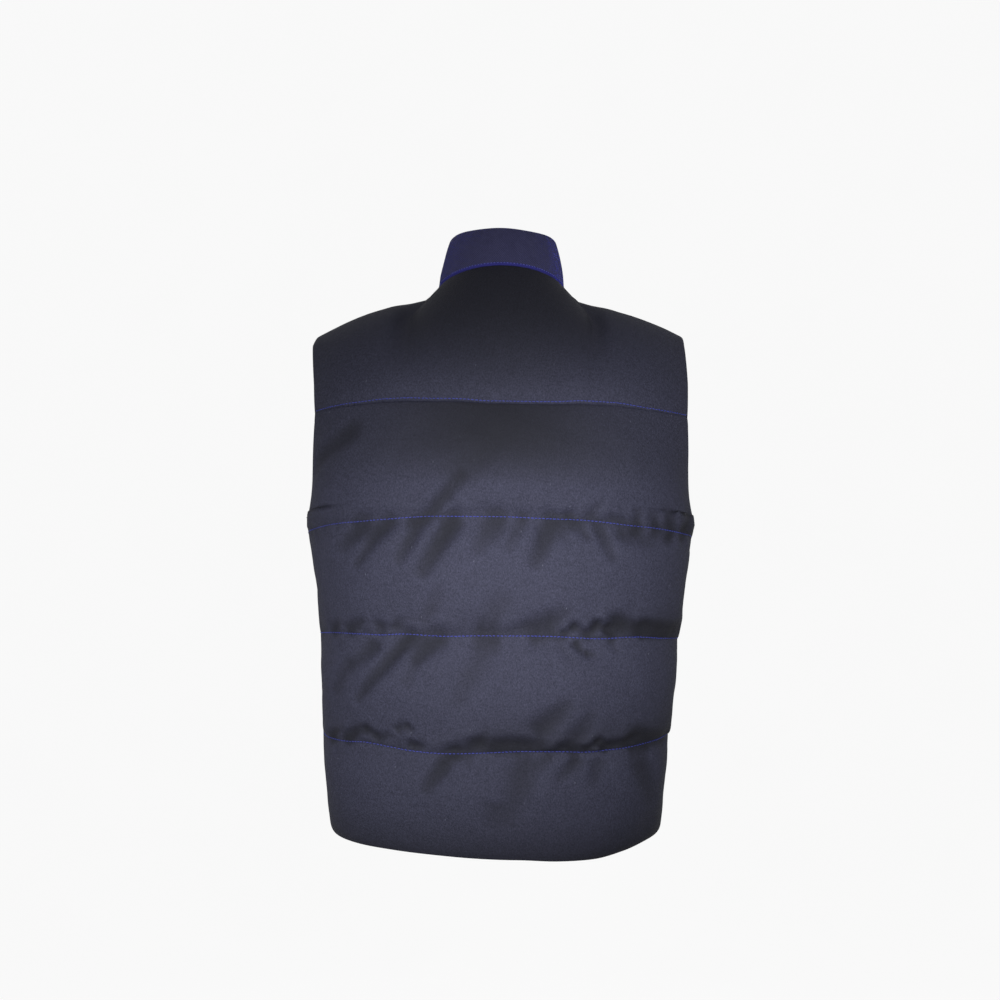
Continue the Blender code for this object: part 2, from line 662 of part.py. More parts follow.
def zip_pull_tab(frame, metal):
    """The tab hangs from the pin; its object's origin lies on the pin's axis."""
    frame = frame @ Matrix.Rotation(-TAB_LEAN, 4, "X")
    eye = pin("zip_pull_tab", TAB_EYE_RADIUS, TAB_EYE_WIDTH, (0, 0, 0), metal)
    plate_length = TAB_LENGTH - TAB_NECK
    plate = (TAB_WIDTH, plate_length, TAB_THICKNESS)
    plate_place = (0, -TAB_NECK - plate_length / 2, 0)
    stem = (TAB_EYE_WIDTH, TAB_NECK + 0.001, TAB_THICKNESS - 0.0002)
    stem_place = (0, -(TAB_NECK + 0.001) / 2 - 0.0004, 0)
    slot = (TAB_SLOT_WIDTH, TAB_SLOT_LENGTH, 3 * TAB_THICKNESS)
    slot_place = (0, -TAB_LENGTH + TAB_SLOT_LENGTH / 2 + 0.0026, 0)
    hole = PIN_RADIUS + PIN_CLEARANCE
    helpers = [
        (rounded_box("helper_tab", plate, plate_place, 0.0004, metal, hidden=True), "UNION"),
        (rounded_box("helper_stem", stem, stem_place, 0.0003, metal, hidden=True), "UNION"),
        (rounded_box("helper_slot", slot, slot_place, 0.0006, metal, hidden=True), "DIFFERENCE"),
        (pin("helper_eye", hole, 3 * TAB_EYE_WIDTH, (0, 0, 0), metal, hidden=True), "DIFFERENCE"),
    ]
    eye.matrix_world = frame
    for helper, operation in helpers:
        helper.matrix_world = frame
        combine(eye, helper, operation)


def zip_box(metal):
    """The box that ends the chain at the hem."""
    size = (BOX_WIDTH, BOX_HEIGHT, BOX_THICKNESS)
    place = (0, 0, SEAM_GAP + BOX_THICKNESS / 2)
    box = rounded_box("zip_box", size, place, 0.0004, metal)
    box.matrix_world = zip_frame(BOX_AT)


def main():
    for old in list(bpy.data.objects):
        bpy.data.objects.remove(old)
    shell = material("shell_wool", (0.030, 0.031, 0.042), 0.9)
    knit = material("collar_knit", (0.024, 0.024, 0.070), 0.8)
    tape = material("zip_tape", (0.012, 0.012, 0.016), 0.7)
    metal = material("zip_metal", (0.10, 0.10, 0.11), 0.35, metallic=1.0)
    panel("back_body", BACK, back_columns(), band_levels(HEM, YOKE), shell)
    yoke_rows = [YOKE + t for t in YOKE_STEPS]
    panel("back_yoke", BACK, back_columns(), yoke_rows, shell)
    front_rows = band_levels(HEM, YOKE)[:-1] + [YOKE] + yoke_rows[1:]
    panel("front_left", FRONT, front_columns(), front_rows, shell, hand=1)
    panel("front_right", FRONT, front_columns(), front_rows, shell, hand=-1)
    collar(knit)
    zip_tape("zip_tape_left", 1, tape)
    zip_tape("zip_tape_right", -1, tape)
    zip_box(metal)
    pin_frame = zip_slider(zip_frame(SLIDER_AT), metal)
    zip_pull_tab(pin_frame, metal)


if __name__ == "__main__":
    main()
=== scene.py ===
"""The padded gilet, dressed for rendering over its CAD frame.

Panels, collar, zip and stitching are rebuilt finely on the form that the CAD solids have, from the
same sections: level 0 is the hem, 1 to 3 the quilting lines, 4 the yoke seam and 5 the shoulder
seam with the neckline, and a share runs from 0 on the midline to 1 at a row's end.
"""

import math
from collections import namedtuple
from functools import partialmethod

import bmesh
import bpy
import numpy as np
from bpy.props import FloatProperty, FloatVectorProperty, PointerProperty
from mathutils import Matrix, Vector


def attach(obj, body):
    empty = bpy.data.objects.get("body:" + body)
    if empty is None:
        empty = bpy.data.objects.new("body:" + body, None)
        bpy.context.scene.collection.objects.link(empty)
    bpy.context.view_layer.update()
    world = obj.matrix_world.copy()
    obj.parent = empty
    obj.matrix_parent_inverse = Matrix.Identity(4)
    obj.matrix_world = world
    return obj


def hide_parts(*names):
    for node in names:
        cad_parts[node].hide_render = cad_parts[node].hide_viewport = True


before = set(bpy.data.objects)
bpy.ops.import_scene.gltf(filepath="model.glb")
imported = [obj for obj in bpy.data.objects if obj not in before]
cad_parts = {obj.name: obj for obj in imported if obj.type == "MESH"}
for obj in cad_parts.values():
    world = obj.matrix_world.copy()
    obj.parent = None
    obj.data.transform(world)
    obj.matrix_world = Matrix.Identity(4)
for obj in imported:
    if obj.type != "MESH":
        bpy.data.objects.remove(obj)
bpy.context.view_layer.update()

bl_info = {
    "name": "Padded gilet",
    "version": (1, 0, 0),
    "blender": (4, 5, 0),
    "location": "3D view > Sidebar > Gilet",
    "description": "Builds a padded gilet with its collar, zip, stitching and studio",
    "category": "Object",
}

# ---------------------------------------------------------------- the form, as in the CAD source

HEM, LOW_QUILT, MID_QUILT, TOP_QUILT, YOKE, SHOULDER = range(6)
UNDERARM = 3.12
DRAW_REACH = 2.2  # how many times its cut-out an armhole draws in of a row
BACK, FRONT = 1, -1  # the side of the midplane that a panel lies on, as the sign of y

SEAM_GAP = 0.0003
LINING_OFFSET = 0.0012
SHELL_OFFSET = 0.0016
ROUNDNESS = 2.35

Section = namedtuple("Section", "level z_centre depth half_width edge_depth z_edge")
SECTIONS = {
    BACK: (
        Section(0.00, -0.5845, 0.1160, 0.1790, 0.000, -0.5545),
        Section(0.50, -0.5290, 0.1210, 0.1820, 0.000, -0.5020),
        Section(1.00, -0.4715, 0.1235, 0.1882, 0.000, -0.4495),
        Section(1.50, -0.4100, 0.1280, 0.1911, 0.000, -0.3990),
        Section(2.00, -0.3480, 0.1300, 0.1970, 0.000, -0.3480),
        Section(2.50, -0.2870, 0.1335, 0.2016, 0.000, -0.2900),
        Section(3.00, -0.2260, 0.1350, 0.2115, 0.000, -0.2335),
        Section(UNDERARM, -0.2120, 0.1350, 0.2112, 0.000, -0.2200),
        Section(3.14, -0.2100, 0.1350, 0.2095, 0.011, -0.2180),
        Section(3.22, -0.1990, 0.1345, 0.2068, 0.025, -0.2065),
        Section(3.42, -0.1740, 0.1335, 0.2038, 0.043, -0.1780),
        Section(3.70, -0.1400, 0.1315, 0.2033, 0.054, -0.1420),
        Section(4.00, -0.1035, 0.1285, 0.2030, 0.059, -0.1050),
    ),
    FRONT: (
        Section(0.00, -0.5740, 0.1240, 0.1790, 0.000, -0.5545),
        Section(0.50, -0.5190, 0.1290, 0.1820, 0.000, -0.5020),
        Section(1.00, -0.4620, 0.1300, 0.1882, 0.000, -0.4495),
        Section(1.50, -0.4055, 0.1325, 0.1911, 0.000, -0.3990),
        Section(2.00, -0.3485, 0.1320, 0.1970, 0.000, -0.3480),
        Section(2.50, -0.2910, 0.1335, 0.2016, 0.000, -0.2900),
        Section(3.00, -0.2330, 0.1325, 0.2115, 0.000, -0.2335),
        Section(UNDERARM, -0.2190, 0.1320, 0.2112, 0.000, -0.2200),
        Section(3.14, -0.2170, 0.1320, 0.2090, 0.013, -0.2180),
        Section(3.22, -0.2060, 0.1315, 0.2040, 0.029, -0.2065),
        Section(3.42, -0.1800, 0.1300, 0.1975, 0.047, -0.1780),
        Section(3.70, -0.1440, 0.1265, 0.1935, 0.058, -0.1420),
        Section(4.00, -0.1080, 0.1210, 0.1925, 0.063, -0.1050),
    ),
}

NECK_HALF_WIDTH = 0.0690
NECK_POINT_Z = 0.0390
Neckline = namedtuple("Neckline", "depth z_centre share climb rise")
NECKLINES = {
    BACK: Neckline(0.078, 0.0525, 0.42, 0.86, 0.36),
    FRONT: Neckline(0.088, -0.022, 0.48, 0.91, 0.18),
}
NECK_POINT_CLIMB = {BACK: 0.60, FRONT: 0.20}
NECK_POINT_RISE = 0.55
NECK_POINT_TURN = math.radians(50)
NECK_FLARE = {BACK: 0.42, FRONT: 0.55}
NECK_DROP_CURVE = 1.4

ShoulderPoint = namedtuple("ShoulderPoint", "x y z")
SHOULDER_SEAM = (
    ShoulderPoint(NECK_HALF_WIDTH, 0.000, NECK_POINT_Z),
    ShoulderPoint(0.0775, 0.000, 0.0312),
    ShoulderPoint(0.0910, -0.001, 0.0268),
    ShoulderPoint(0.1250, -0.002, 0.0165),
    ShoulderPoint(0.1470, -0.003, 0.0105),
    ShoulderPoint(0.1790, -0.004, -0.0015),
    ShoulderPoint(0.2045, -0.005, -0.0140),
)

LEAN_PER_METRE = 0.0115
SKEW_BY_LEVEL = (0.0045, 0.0000, 0.0030, 0.0030, 0.0020)
SHOULDER_SKEW = 0.0016
# The worn hem of the back hangs unevenly: how far it rises at each share of its half width.
HEM_LIFTS = (
    (-1.0, 0.0000),
    (-0.90, 0.0038),
    (-0.74, 0.0058),
    (-0.58, 0.0030),
    (-0.44, 0.0004),
    (-0.28, 0.0015),
    (-0.10, 0.0038),
    (0.20, 0.0037),
    (0.45, 0.0021),
    (0.64, -0.0004),
    (0.85, -0.0022),
    (1.0, 0.0000),
)
# How far the back's worn seams stand above their levels, at shares of its half width.
SeamDrift = namedtuple("SeamDrift", "share low middle top yoke")
SEAM_DRIFTS = (
    SeamDrift(-1.00, 0.0000, -0.0009, -0.0052, -0.0047),
    SeamDrift(-0.70, -0.0007, -0.0007, -0.0046, -0.0021),
    SeamDrift(-0.55, -0.0025, -0.0004, -0.0030, -0.0003),
    SeamDrift(-0.40, -0.0027, -0.0012, -0.0010, -0.0002),
    SeamDrift(-0.25, 0.0008, -0.0019, -0.0002, -0.0014),
    SeamDrift(-0.10, 0.0024, -0.0011, 0.0003, -0.0018),
    SeamDrift(0.05, 0.0010, -0.0021, -0.0002, -0.0019),
    SeamDrift(0.20, -0.0001, -0.0025, 0.0000, -0.0005),
    SeamDrift(0.35, 0.0010, -0.0032, -0.0006, -0.0004),
    SeamDrift(0.45, 0.0030, -0.0043, -0.0010, 0.0000),
    SeamDrift(0.55, 0.0043, -0.0020, -0.0031, 0.0000),
    SeamDrift(0.65, 0.0017, -0.0010, -0.0043, -0.0007),
    SeamDrift(0.80, 0.0004, -0.0004, -0.0048, -0.0015),
    SeamDrift(1.00, 0.0000, 0.0000, -0.0049, -0.0038),
)
# The worn sides hang unevenly too: how far out each stands beyond its section, by height.
SideShift = namedtuple("SideShift", "z left right")
SIDE_SHIFTS = (
    SideShift(-0.60, 0.0000, 0.0000),
    SideShift(-0.50, 0.0008, -0.0004),
    SideShift(-0.455, 0.0016, 0.0002),
    SideShift(-0.410, -0.0042, 0.0000),
    SideShift(-0.375, -0.0028, 0.0018),
    SideShift(-0.343, -0.0022, 0.0012),
    SideShift(-0.298, -0.0056, 0.0008),
    SideShift(-0.253, -0.0030, 0.0010),
    SideShift(-0.225, 0.0000, 0.0030),
    SideShift(-0.165, -0.0012, 0.0014),
    SideShift(-0.115, -0.0018, 0.0014),
    SideShift(-0.075, 0.0004, 0.0020),
    SideShift(-0.029, 0.0048, 0.0000),
    SideShift(-0.005, 0.0000, 0.0000),
    SideShift(0.150, 0.0000, 0.0000),
)
SIDE_SHIFT_STARTS, SIDE_SHIFT_RUN = 0.090, 0.090

# Each band of padding swells to its peak, a share of its height; small exponents make full slopes.
# From the share sag_from to the wearer's right its filling has sunk into a full underside. Painted
# shade darkens the cloth above and below the peak by shade_over and shade_under, where its slopes turn from
# the light.
Band = namedtuple("Band", "level height peak over under sag_from shade_over shade_under")
BANDS = (
    Band(HEM, 0.0072, 0.60, 1.30, 0.80, 0.20, 0.00, 0.58),
    Band(LOW_QUILT, 0.0092, 0.52, 1.30, 0.80, -0.30, 0.00, 0.15),
    Band(MID_QUILT, 0.0092, 0.48, 1.20, 0.85, 0.30, 0.00, 0.12),
    Band(TOP_QUILT, 0.0080, 0.36, 0.80, 1.00, 0.50, 0.90, 0.04),
    Band(YOKE, 0.0040, 0.13, 1.00, 0.85, 2.00, 0.78, 0.00),
)
SAG, SAG_RUN = 0.55, 0.40
SUNK_SHADE = 0.75
SHADE_STARTS, SHADE_RISE, SHADE_REACH = 0.10, 1.6, 0.58  # below the peak, upwards and to the sides
CREASE_SHADE_DEPTH = 0.0034  # a fold this deep is painted two thirds as dark as the darkest shade painted in a fold
SIDE_FADE = 0.115
FRONT_EDGE_FADE = 0.030
THINNEST = 0.14
HEM_ROLL = 0.008  # height over which the turned hem rounds under

COLLAR_TOP_HALF_WIDTH = 0.0600
COLLAR_TOP_DEPTH = {BACK: 0.062, FRONT: 0.080}
COLLAR_TOP_Z = {BACK: 0.0985, FRONT: 0.040}
COLLAR_SIDE_TOP_Z = 0.0915
COLLAR_SKEW = 0.0024
COLLAR_TOP_CURVE = {BACK: 0.42, FRONT: 1.0}
COLLAR_LEFT_DRAW = 0.0034
COLLAR_BULGE = 0.0020
COLLAR_HALF_WALL = 0.0021

FRONT_EDGE_X = 0.0055
TAPE_EDGE_X = 0.0150
TAPE_THICKNESS = 0.0008
ZIP_IN_COLLAR = 0.0006
ZIP_END = 5.93
SLIDER_AT = 5.72
CHAIN_STARTS, CHAIN_ENDS = 0.11, SLIDER_AT - 0.01
PARTS_OVER = (SLIDER_AT - 0.03, SLIDER_AT + 0.025)
BRIDGE_WIDTH, SLIDER_CLEARANCE = 0.0026, 0.0004

LEVEL_HEIGHT = 0.122
YOKE_HEIGHT = 0.15  # of cloth, from the yoke seam up to a shoulder seam
SHARE_STEP, LEVEL_STEP = 0.003, 0.006  # between which a panel's slopes are taken
TURN_STEP, HEIGHT_STEP = 0.01, 0.02  # and the collar's


def smooth_through(xs, ys):
    """A smooth function of numbers or arrays, through points, that doesn't overshoot them."""
    xs, ys = np.array(xs, float), np.array(ys, float)
    slope = np.diff(ys) / np.diff(xs)
    left, right = slope[:-1], slope[1:]
    total = np.where(left + right == 0, 1.0, left + right)
    inner = np.where(left * right > 0, 2 * left * right / total, 0.0)
    tangent = np.concatenate([slope[:1], inner, slope[-1:]])

    def value(x):
        i = np.clip(np.searchsorted(xs, x) - 1, 0, len(xs) - 2)
        width = xs[i + 1] - xs[i]
        t = np.clip((x - xs[i]) / width, 0.0, 1.0)
        start = (1 + 2 * t) * (1 - t) ** 2 * ys[i] + t * (1 - t) ** 2 * width * tangent[i]
        return start + t * t * (3 - 2 * t) * ys[i + 1] + t * t * (t - 1) * width * tangent[i + 1]

    return value


def ease(t):
    """A smooth step from 0 to 1 while t goes from 0 to 1."""
    t = np.clip(t, 0.0, 1.0)
    return t * t * (3 - 2 * t)


def rounding(distance, radius):
    """A quarter circle's height: 0 on an edge and 1 from the radius on."""
    left = 1 - np.clip(distance / radius, 0.0, 1.0)
    return np.sqrt(1 - left * left)


def distances(points):
    """How far along a path each of its points lies."""
    return np.concatenate([[0], np.cumsum(np.linalg.norm(np.diff(points, axis=0), axis=1))])


SECTION_AT = {
    side: {
        field: smooth_through([s.level for s in rows], [getattr(s, field) for s in rows])
        for field in Section._fields[1:]
    }
    for side, rows in SECTIONS.items()
}
SKEW_AT = smooth_through(range(YOKE + 1), SKEW_BY_LEVEL)
HEM_LIFT_AT = smooth_through(*zip(*HEM_LIFTS))
DRIFT_SHARES, *DRIFT_COLUMNS = zip(*SEAM_DRIFTS)
DRIFT_AT = {
    line: smooth_through(DRIFT_SHARES, column)
    for line, column in zip((LOW_QUILT, MID_QUILT, TOP_QUILT, YOKE), DRIFT_COLUMNS)
}


def shoulder_curves():
    """How the shoulder seam's x, y and z go along its length."""
    points = np.array(SHOULDER_SEAM)
    lengths = distances(points)
    return [smooth_through(lengths / lengths[-1], points[:, axis]) for axis in range(3)]


SHOULDER_AT = shoulder_curves()
SECTION_CACHE = {}


def half_section(side, level):
    """Half of a row up to the yoke seam: shares of its length, x, y, and the length in metres."""
    key = (side, round(float(level), 5))
    if key not in SECTION_CACHE:
        at = SECTION_AT[side]
        depth = at["depth"](level)
        end = math.acos((at["edge_depth"](level) / depth) ** (ROUNDNESS / 2))
        angle = np.linspace(0, end, 361)
        x = np.sin(angle) ** (2 / ROUNDNESS)
        x *= at["half_width"](level) / x[-1]
        y = depth * np.abs(np.cos(angle)) ** (2 / ROUNDNESS)
        length = np.concatenate([[0], np.cumsum(np.hypot(np.diff(x), np.diff(y)))])
        SECTION_CACHE[key] = (length / length[-1], x, y, float(length[-1]))
    return SECTION_CACHE[key]


def half_length(side, level):
    return half_section(side, min(level, YOKE))[3]


def beside_armhole(side, share, level):
    """Shares of a row beside an armhole, where only the cloth near the edge draws in."""
    at = SECTION_AT[side]
    missing = 1.05 * at["edge_depth"](level)
    missing *= 1 - ease((level - UNDERARM) / (YOKE - UNDERARM))
    cut = missing / (missing + half_length(side, level))
    if cut < 1e-6:
        return share
    start = 1 - DRAW_REACH * cut
    s = np.abs(share)
    t = np.clip((s - start) / (1 - start), 0.0, 1.0)
    inner = start / (1 - cut)
    slope = DRAW_REACH / (DRAW_REACH - 1)
    near_edge = inner + (1 - inner) * (slope * t + (1 - slope) * t * t)
    return np.sign(share) * np.where(s < start, s / (1 - cut), near_edge)


def body_row(side, share, level):
    """Points of one row up to the yoke seam, before the lean."""
    if level > UNDERARM:
        share = beside_armhole(side, share, level)
    shares, xs, ys, _ = half_section(side, level)
    at = SECTION_AT[side]
    s = np.abs(share)
    z = at["z_centre"](level) + (at["z_edge"](level) - at["z_centre"](level)) * s * s
    z = z + SKEW_AT(level) * np.sin(2.2 * share)
    if side == BACK and level < LOW_QUILT:
        z = z + HEM_LIFT_AT(share) * (1 - ease(level))
    return np.stack([np.sign(share) * np.interp(s, shares, xs), side * np.interp(s, shares, ys), z], -1)


def neck_drop(angle):
    """How much of its fall the neckline has made, from 0 at a neck point to 1 at its middle."""
    return np.abs(np.cos(angle)) ** NECK_DROP_CURVE


def neckline_row(side, share_of_neck):
    neck = NECKLINES[side]
    angle = share_of_neck * math.pi / 2
    z = NECK_POINT_Z + (neck.z_centre - NECK_POINT_Z) * neck_drop(angle)
    x = NECK_HALF_WIDTH * np.sin(angle)
    return np.stack([x, side * neck.depth * np.abs(np.cos(angle)), z], -1)


def top_row(side, share):
    """The neckline and then the shoulder seam."""
    neck_share = NECKLINES[side].share
    s = np.abs(share)
    neck = neckline_row(side, np.minimum(s / neck_share, 1.0))
    out = np.clip((s - neck_share) / (1 - neck_share), 0.0, 1.0)
    shoulder = np.stack([curve(out) for curve in SHOULDER_AT], -1)
    shoulder[..., 2] += np.sign(share) * SHOULDER_SKEW * np.sin(math.pi * out)
    row = np.where((s <= neck_share)[..., None], neck, shoulder)
    row[..., 0] *= np.where(share < 0, -1.0, 1.0)
    return row


def top_direction(side, share):
    """The direction in which the yoke arrives at the neckline and the shoulder seam."""
    neck = NECKLINES[side]
    along = np.minimum(np.abs(share) / neck.share, 1.0)
    near_neck = 1 - ease((np.abs(share) - neck.share) / (1 - neck.share) / NECK_FLARE[side])
    climb = (neck.climb + (NECK_POINT_CLIMB[side] - neck.climb) * ease(along)) * near_neck
    turn = np.sign(share) * NECK_POINT_TURN * along * near_neck
    inward = np.sqrt(1 - climb * climb)
    return np.stack([-np.sin(turn) * inward, -side * np.cos(turn) * inward, climb], -1)


def yoke_row(side, share, level):
    """Points of one row above the yoke seam, before the lean."""
    start, end = body_row(side, share, YOKE), top_row(side, share)
    tangent = start - body_row(side, share, YOKE - 0.004)
    tangent /= np.linalg.norm(tangent, axis=-1, keepdims=True)
    chord = np.linalg.norm(end - start, axis=-1, keepdims=True)
    over = ease(np.abs(share) / NECKLINES[side].share)[..., None]
    leave = tangent * chord * (0.95 + 0.20 * over)
    arrive = top_direction(side, share) * chord * (0.70 + 0.45 * over)
    t = level - YOKE
    return (
        start * (1 + 2 * t) * (1 - t) ** 2
        + leave * t * (1 - t) ** 2
        + end * t * t * (3 - 2 * t)
        + arrive * t * t * (t - 1)
    )


def lean(points):
    """The points as worn: leaning a little, the sides hanging unevenly."""
    leaning = points.copy()
    x, z = points[..., 0], points[..., 2]
    heights, left, right = np.array(SIDE_SHIFTS).T
    reach = ease((np.abs(x) - SIDE_SHIFT_STARTS) / SIDE_SHIFT_RUN)
    out = np.where(x > 0, np.interp(z, heights, left), np.interp(z, heights, right))
    leaning[..., 0] += np.sign(x) * out * reach - LEAN_PER_METRE * z
    return leaning


def cloth_points(side, shares, levels):
    """Points of the stitched surface: one row of shares, or one for each level."""
    rows = []
    for i, level in enumerate(levels):
        share = shares[i] if np.ndim(shares) == 2 else shares
        make = body_row if level <= YOKE else yoke_row
        rows.append(make(side, np.asarray(share, float), float(level)))
    return lean(np.array(rows))


def unit(vectors):
    return vectors / np.linalg.norm(vectors, axis=-1, keepdims=True)


def cloth_directions(side, shares, levels):
    """The stitched surface's outward directions and its rise for each level."""
    right, left = np.minimum(shares + SHARE_STEP, 1.0), np.maximum(shares - SHARE_STEP, -1.0)
    across = cloth_points(side, right, levels) - cloth_points(side, left, levels)
    high, low = np.minimum(levels + LEVEL_STEP, SHOULDER), np.maximum(levels - LEVEL_STEP, HEM)
    up = cloth_points(side, shares, high) - cloth_points(side, shares, low)
    return unit(np.cross(across, up)) * -side, up / (high - low)[:, None, None]


def share_at(side, x, level):
    """The share of a row that lies at a small distance x from the midline."""
    share = x / half_length(side, level)
    for _ in range(4):
        point = cloth_points(side, np.array([share]), [level])[0, 0]
        share *= x / (point[0] + LEAN_PER_METRE * point[2])
    return share


def round_neck(turns):
    """The side of the garment, the share of its neckline and the hand at each turn round the neck."""
    side = np.where(np.abs(turns) <= 1, BACK, FRONT)
    share = np.where(side == BACK, np.abs(turns), 2 - np.abs(turns))
    return side, share, np.where(turns > 0, -1, 1)


def by_side(side, values):
    return np.where(side == BACK, values[BACK], values[FRONT])


def collar_points(turns, heights):
    """Points of the collar's middle surface: a row of turns for each height."""
    side, share, hand = round_neck(turns)
    angle = hand * share * math.pi / 2
    back, front = neckline_row(BACK, share), neckline_row(FRONT, share)
    base = np.where((side == BACK)[:, None], back, front)
    base[:, 0] *= hand
    rise = neck_drop(angle) ** by_side(side, COLLAR_TOP_CURVE)
    top_z = COLLAR_SIDE_TOP_Z + (by_side(side, COLLAR_TOP_Z) - COLLAR_SIDE_TOP_Z) * rise
    top_z = top_z + COLLAR_SKEW * np.sin(angle)
    top_y = side * by_side(side, COLLAR_TOP_DEPTH) * np.cos(angle)
    top = np.stack([COLLAR_TOP_HALF_WIDTH * np.sin(angle), top_y, top_z], -1)
    outward = np.stack([np.sin(angle), side * np.cos(angle), 0 * angle], -1)
    height = np.asarray(heights, float)[:, None, None]
    top[:, 0] -= COLLAR_LEFT_DRAW * np.maximum(np.sin(angle), 0.0)
    return lean(base * (1 - height) + top * height + outward * COLLAR_BULGE * np.sin(math.pi * height))


def collar_normals(turns, heights):
    around = collar_points(turns + TURN_STEP, heights) - collar_points(turns - TURN_STEP, heights)
    high, low = np.minimum(heights + HEIGHT_STEP, 1), np.maximum(heights - HEIGHT_STEP, 0)
    up = collar_points(turns, high) - collar_points(turns, low)
    return unit(np.cross(around, up))


def neck_seam_normals(turns):
    """The direction that the wall ends of the collar and of the panels share."""
    side, share, hand = round_neck(turns)
    angle = share * math.pi / 2
    rise_to = np.where(side == BACK, NECKLINES[BACK].rise, NECKLINES[FRONT].rise)
    rise = NECK_POINT_RISE + (rise_to - NECK_POINT_RISE) * neck_drop(angle)
    return unit(np.stack([hand * np.sin(angle), side * np.cos(angle), rise], -1))


# ---------------------------------------------------------------- folds, puckers and padding

